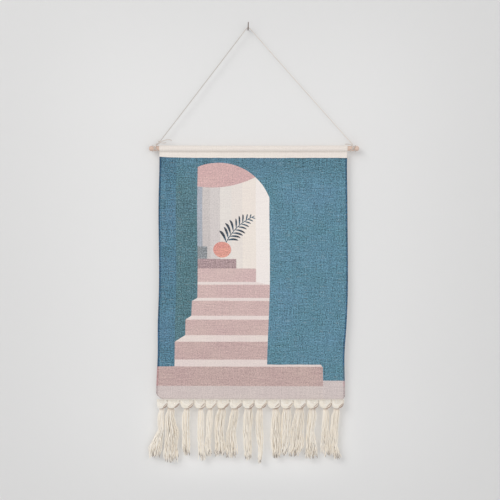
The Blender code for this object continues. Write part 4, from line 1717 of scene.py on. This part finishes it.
@dataclass
class HangingCord:
    """The twine that carries the dowel: its long middle, the clove hitches, the knot and the loose ends."""

    diameter: float = 0.0022
    pitch: float = 0.0078
    hitch_lift: float = 0.0018
    hitch_inset: float = 0.0085
    hitch_spacing: float = 0.0125
    hitch_play: float = 0.0002  # between the dowel and a turn
    knot_size: float = 0.00085
    sides: int = 15
    plies: int = 3
    finish: bpy.types.Material | None = None
    route: tuple[Point, ...] = (
        (-0.2081, 0.0, -0.2689),
        (-0.1560, 0.0, -0.2014),
        (-0.1040, 0.0, -0.1335),
        (-0.0520, 0.0, -0.0656),
        (-0.0170, 0.0, -0.0197),
        (-0.0035, 0.0, -0.0020),
        (-0.0018, 0.0, -0.0006),
        (0.0003, 0.0, 0.0),
        (0.0025, 0.0, -0.0005),
        (0.0042, 0.0, -0.0017),
        (0.0180, 0.0, -0.0173),
        (0.0600, 0.0, -0.0649),
        (0.1200, 0.0, -0.1328),
        (0.1850, 0.0, -0.2060),
        (0.2490, 0.0, -0.2778),
    )
    knot_centre: Point = (-0.2102, 0.0, -0.2717)
    standing_end: tuple[Point, ...] = (
        (-0.2192, 0.0, -0.2780),
        (-0.2164, -0.0010, -0.2762),
        (-0.2135, -0.0015, -0.2742),
        (-0.2112, -0.0012, -0.2722),
    )
    returning: tuple[Point, ...] = (
        (-0.2205, -0.0080, -0.2862),
        (-0.2186, -0.0074, -0.2815),
        (-0.2160, -0.0042, -0.2786),
        (-0.2138, 0.0002, -0.2771),
        (-0.2121, 0.0014, -0.2756),
        (-0.2106, 0.0012, -0.2730),
    )
    long_tail: tuple[Point, ...] = (
        (-0.2092, -0.0006, -0.2712),
        (-0.2068, -0.0004, -0.2709),
        (-0.2010, -0.0012, -0.2689),
        (-0.1935, -0.0018, -0.2668),
        (-0.1870, -0.0014, -0.2668),
        (-0.1812, -0.0004, -0.2686),
    )
    short_tail: tuple[Point, ...] = (
        (-0.2094, -0.0004, -0.2728),
        (-0.2070, -0.0008, -0.2738),
        (-0.2030, -0.0020, -0.2747),
        (-0.1985, -0.0026, -0.2743),
        (-0.1945, -0.0022, -0.2730),
    )
    right_tail: tuple[Point, ...] = (
        (0.2499, -0.0080, -0.2864),
        (0.2480, -0.0076, -0.2820),
        (0.2452, -0.0056, -0.2791),
        (0.2417, -0.0030, -0.2781),
        (0.2385, -0.0028, -0.2776),
        (0.2345, -0.0034, -0.2774),
        (0.2308, -0.0040, -0.2781),
    )

    def build(self) -> None:
        self.finish = Twine().material()
        line = even_line(smooth_line(self.route, 0.002), 0.0008)
        cord = self._strand_piece("twine", [line], 0.35, ("hanging_cord",))
        pieces = [self._hitch(Hand.LEFT), self._hitch(Hand.RIGHT), self._knot()]
        for name, route, shade, node in (
            ("left_long_tail", self.long_tail, 0.3, "left_cord_long_tail"),
            ("left_short_tail", self.short_tail, 0.5, "left_cord_short_tail"),
            ("right_tail", self.right_tail, 0.1, "right_cord_tail"),
        ):
            end = even_line(smooth_line(route, 0.0008), 0.0006)
            pieces.append(self._strand_piece(name, [end], shade, (node,)))
        LOG.info("cord: %.3f m of twine and %d pieces on it", line_length(line), len(pieces))

    def _strand_piece(
        self, name: str, lines: list[np.ndarray], shade: float, nodes: tuple[str, ...]
    ) -> bpy.types.Object:
        """Makes a piece of twine. Its long middle gets painted shade on its left leg and painted light on
        its right one.

        Args:
            name: the piece's name.
            lines: the middle lines of its strands.
            shade: its shade.
            nodes: the CAD nodes that it stands for.

        Returns:
            The piece.
        """
        skein = Skein()
        for line in lines:
            # painted shade on the left leg, painted light on the right one
            leg_light = np.clip(line[:, 0] / 0.03, -1.0, 1.0) * (name == "twine")
            marks = np.stack([leg_light, 0 * leg_light, 0 * leg_light], 1)
            skein.strand(line, self.diameter / 2, shade, self.sides, self.plies, self.pitch, marks=marks)
        thing = skein.piece(name, self.finish)
        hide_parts(*nodes)
        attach(thing, "hanger")
        return thing

    def _hitch(self, hand: Hand) -> bpy.types.Object:
        """Ties a clove hitch: two turns round the dowel, and the diagonal strand that holds them down.

        Args:
            hand: the end of the dowel.

        Returns:
            The hitch, with the two strands that come down to it from the knot where it is the left one.
        """
        low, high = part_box("dowel")
        axis, rod = (low.z + high.z) / 2, (high.z - low.z) / 2
        left = hand is Hand.LEFT
        inward = 1.0 if left else -1.0
        outer = (low.x if left else high.x) + inward * self.hitch_inset
        inner = outer + inward * self.hitch_spacing
        middle = (outer + inner) / 2
        wound = rod + self.diameter / 2 + self.hitch_play
        start_x, _, start_z = self.standing_end[0] if left else self.route[-1]
        degrees = np.linspace(0, -642, 260)
        turns = [0, 70, 150, 225, 315, 400, 560, 612, 642]
        tucked = [middle - inward * 0.0024, middle - inward * 0.0012]
        places = [start_x, inner - inward * 0.0022, inner, inner, outer, outer, outer, *tucked]
        x = np.interp(-degrees, turns, places)
        x = np.convolve(np.pad(x, 6, "edge"), np.ones(13) / 13, "valid")
        reach = np.interp(-degrees, [0, 30, 60], [start_z - axis, wound + 0.0007, wound])
        reach = reach + np.exp(-(((-degrees - 270) / 34) ** 2)) * self.hitch_lift
        a = np.radians(degrees)
        lines = [even_line(np.stack([x, -reach * np.sin(a), axis + reach * np.cos(a)], 1), 0.0007)]
        nodes = [f"{hand.value}_hitch_{part}" for part in ("outer_turn", "inner_turn", "crossing")]
        if left:
            for route in (self.standing_end, self.returning):
                lines.append(even_line(smooth_line(route, 0.0006), 0.0006))
            nodes += ["left_cord_standing_end", "left_cord_return"]
        return self._strand_piece(f"{hand.value}_hitch", lines, 0.15, tuple(nodes))

    def _knot(self) -> bpy.types.Object:
        """Ties the small overhand knot on the left leg, pulled tight.

        Returns:
            The knot.
        """
        t = np.linspace(0, FULL_TURN, 90, endpoint=False)
        x = self.knot_size * (np.sin(t) + 2 * np.sin(2 * t))
        z = self.knot_size * (np.cos(t) - 2 * np.cos(2 * t)) * 1.05
        y = self.knot_size * -1.1 * np.sin(3 * t)
        line = np.array(self.knot_centre) + np.stack([x, y, z], 1)
        skein = Skein()
        skein.strand(line, self.diameter / 2, 0.4, self.sides, self.plies, self.pitch, closed=True)
        knot = skein.piece("cord_knot", self.finish)
        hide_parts("left_cord_knot")
        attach(knot, "hanger")
        return knot


def main() -> None:
    """Builds the studio and then the object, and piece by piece."""
    logging.basicConfig(level=logging.INFO, format="%(name)s: %(message)s")
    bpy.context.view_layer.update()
    Studio().build()
    HangingCord().build()
    Dowel().dress()
    cloth = Cloth()
    sheet, stitches = cloth.build()
    pieces = TasselRow().build()
    round(cloth.cut_length(), 3)


if __name__ == "__main__":
    main()
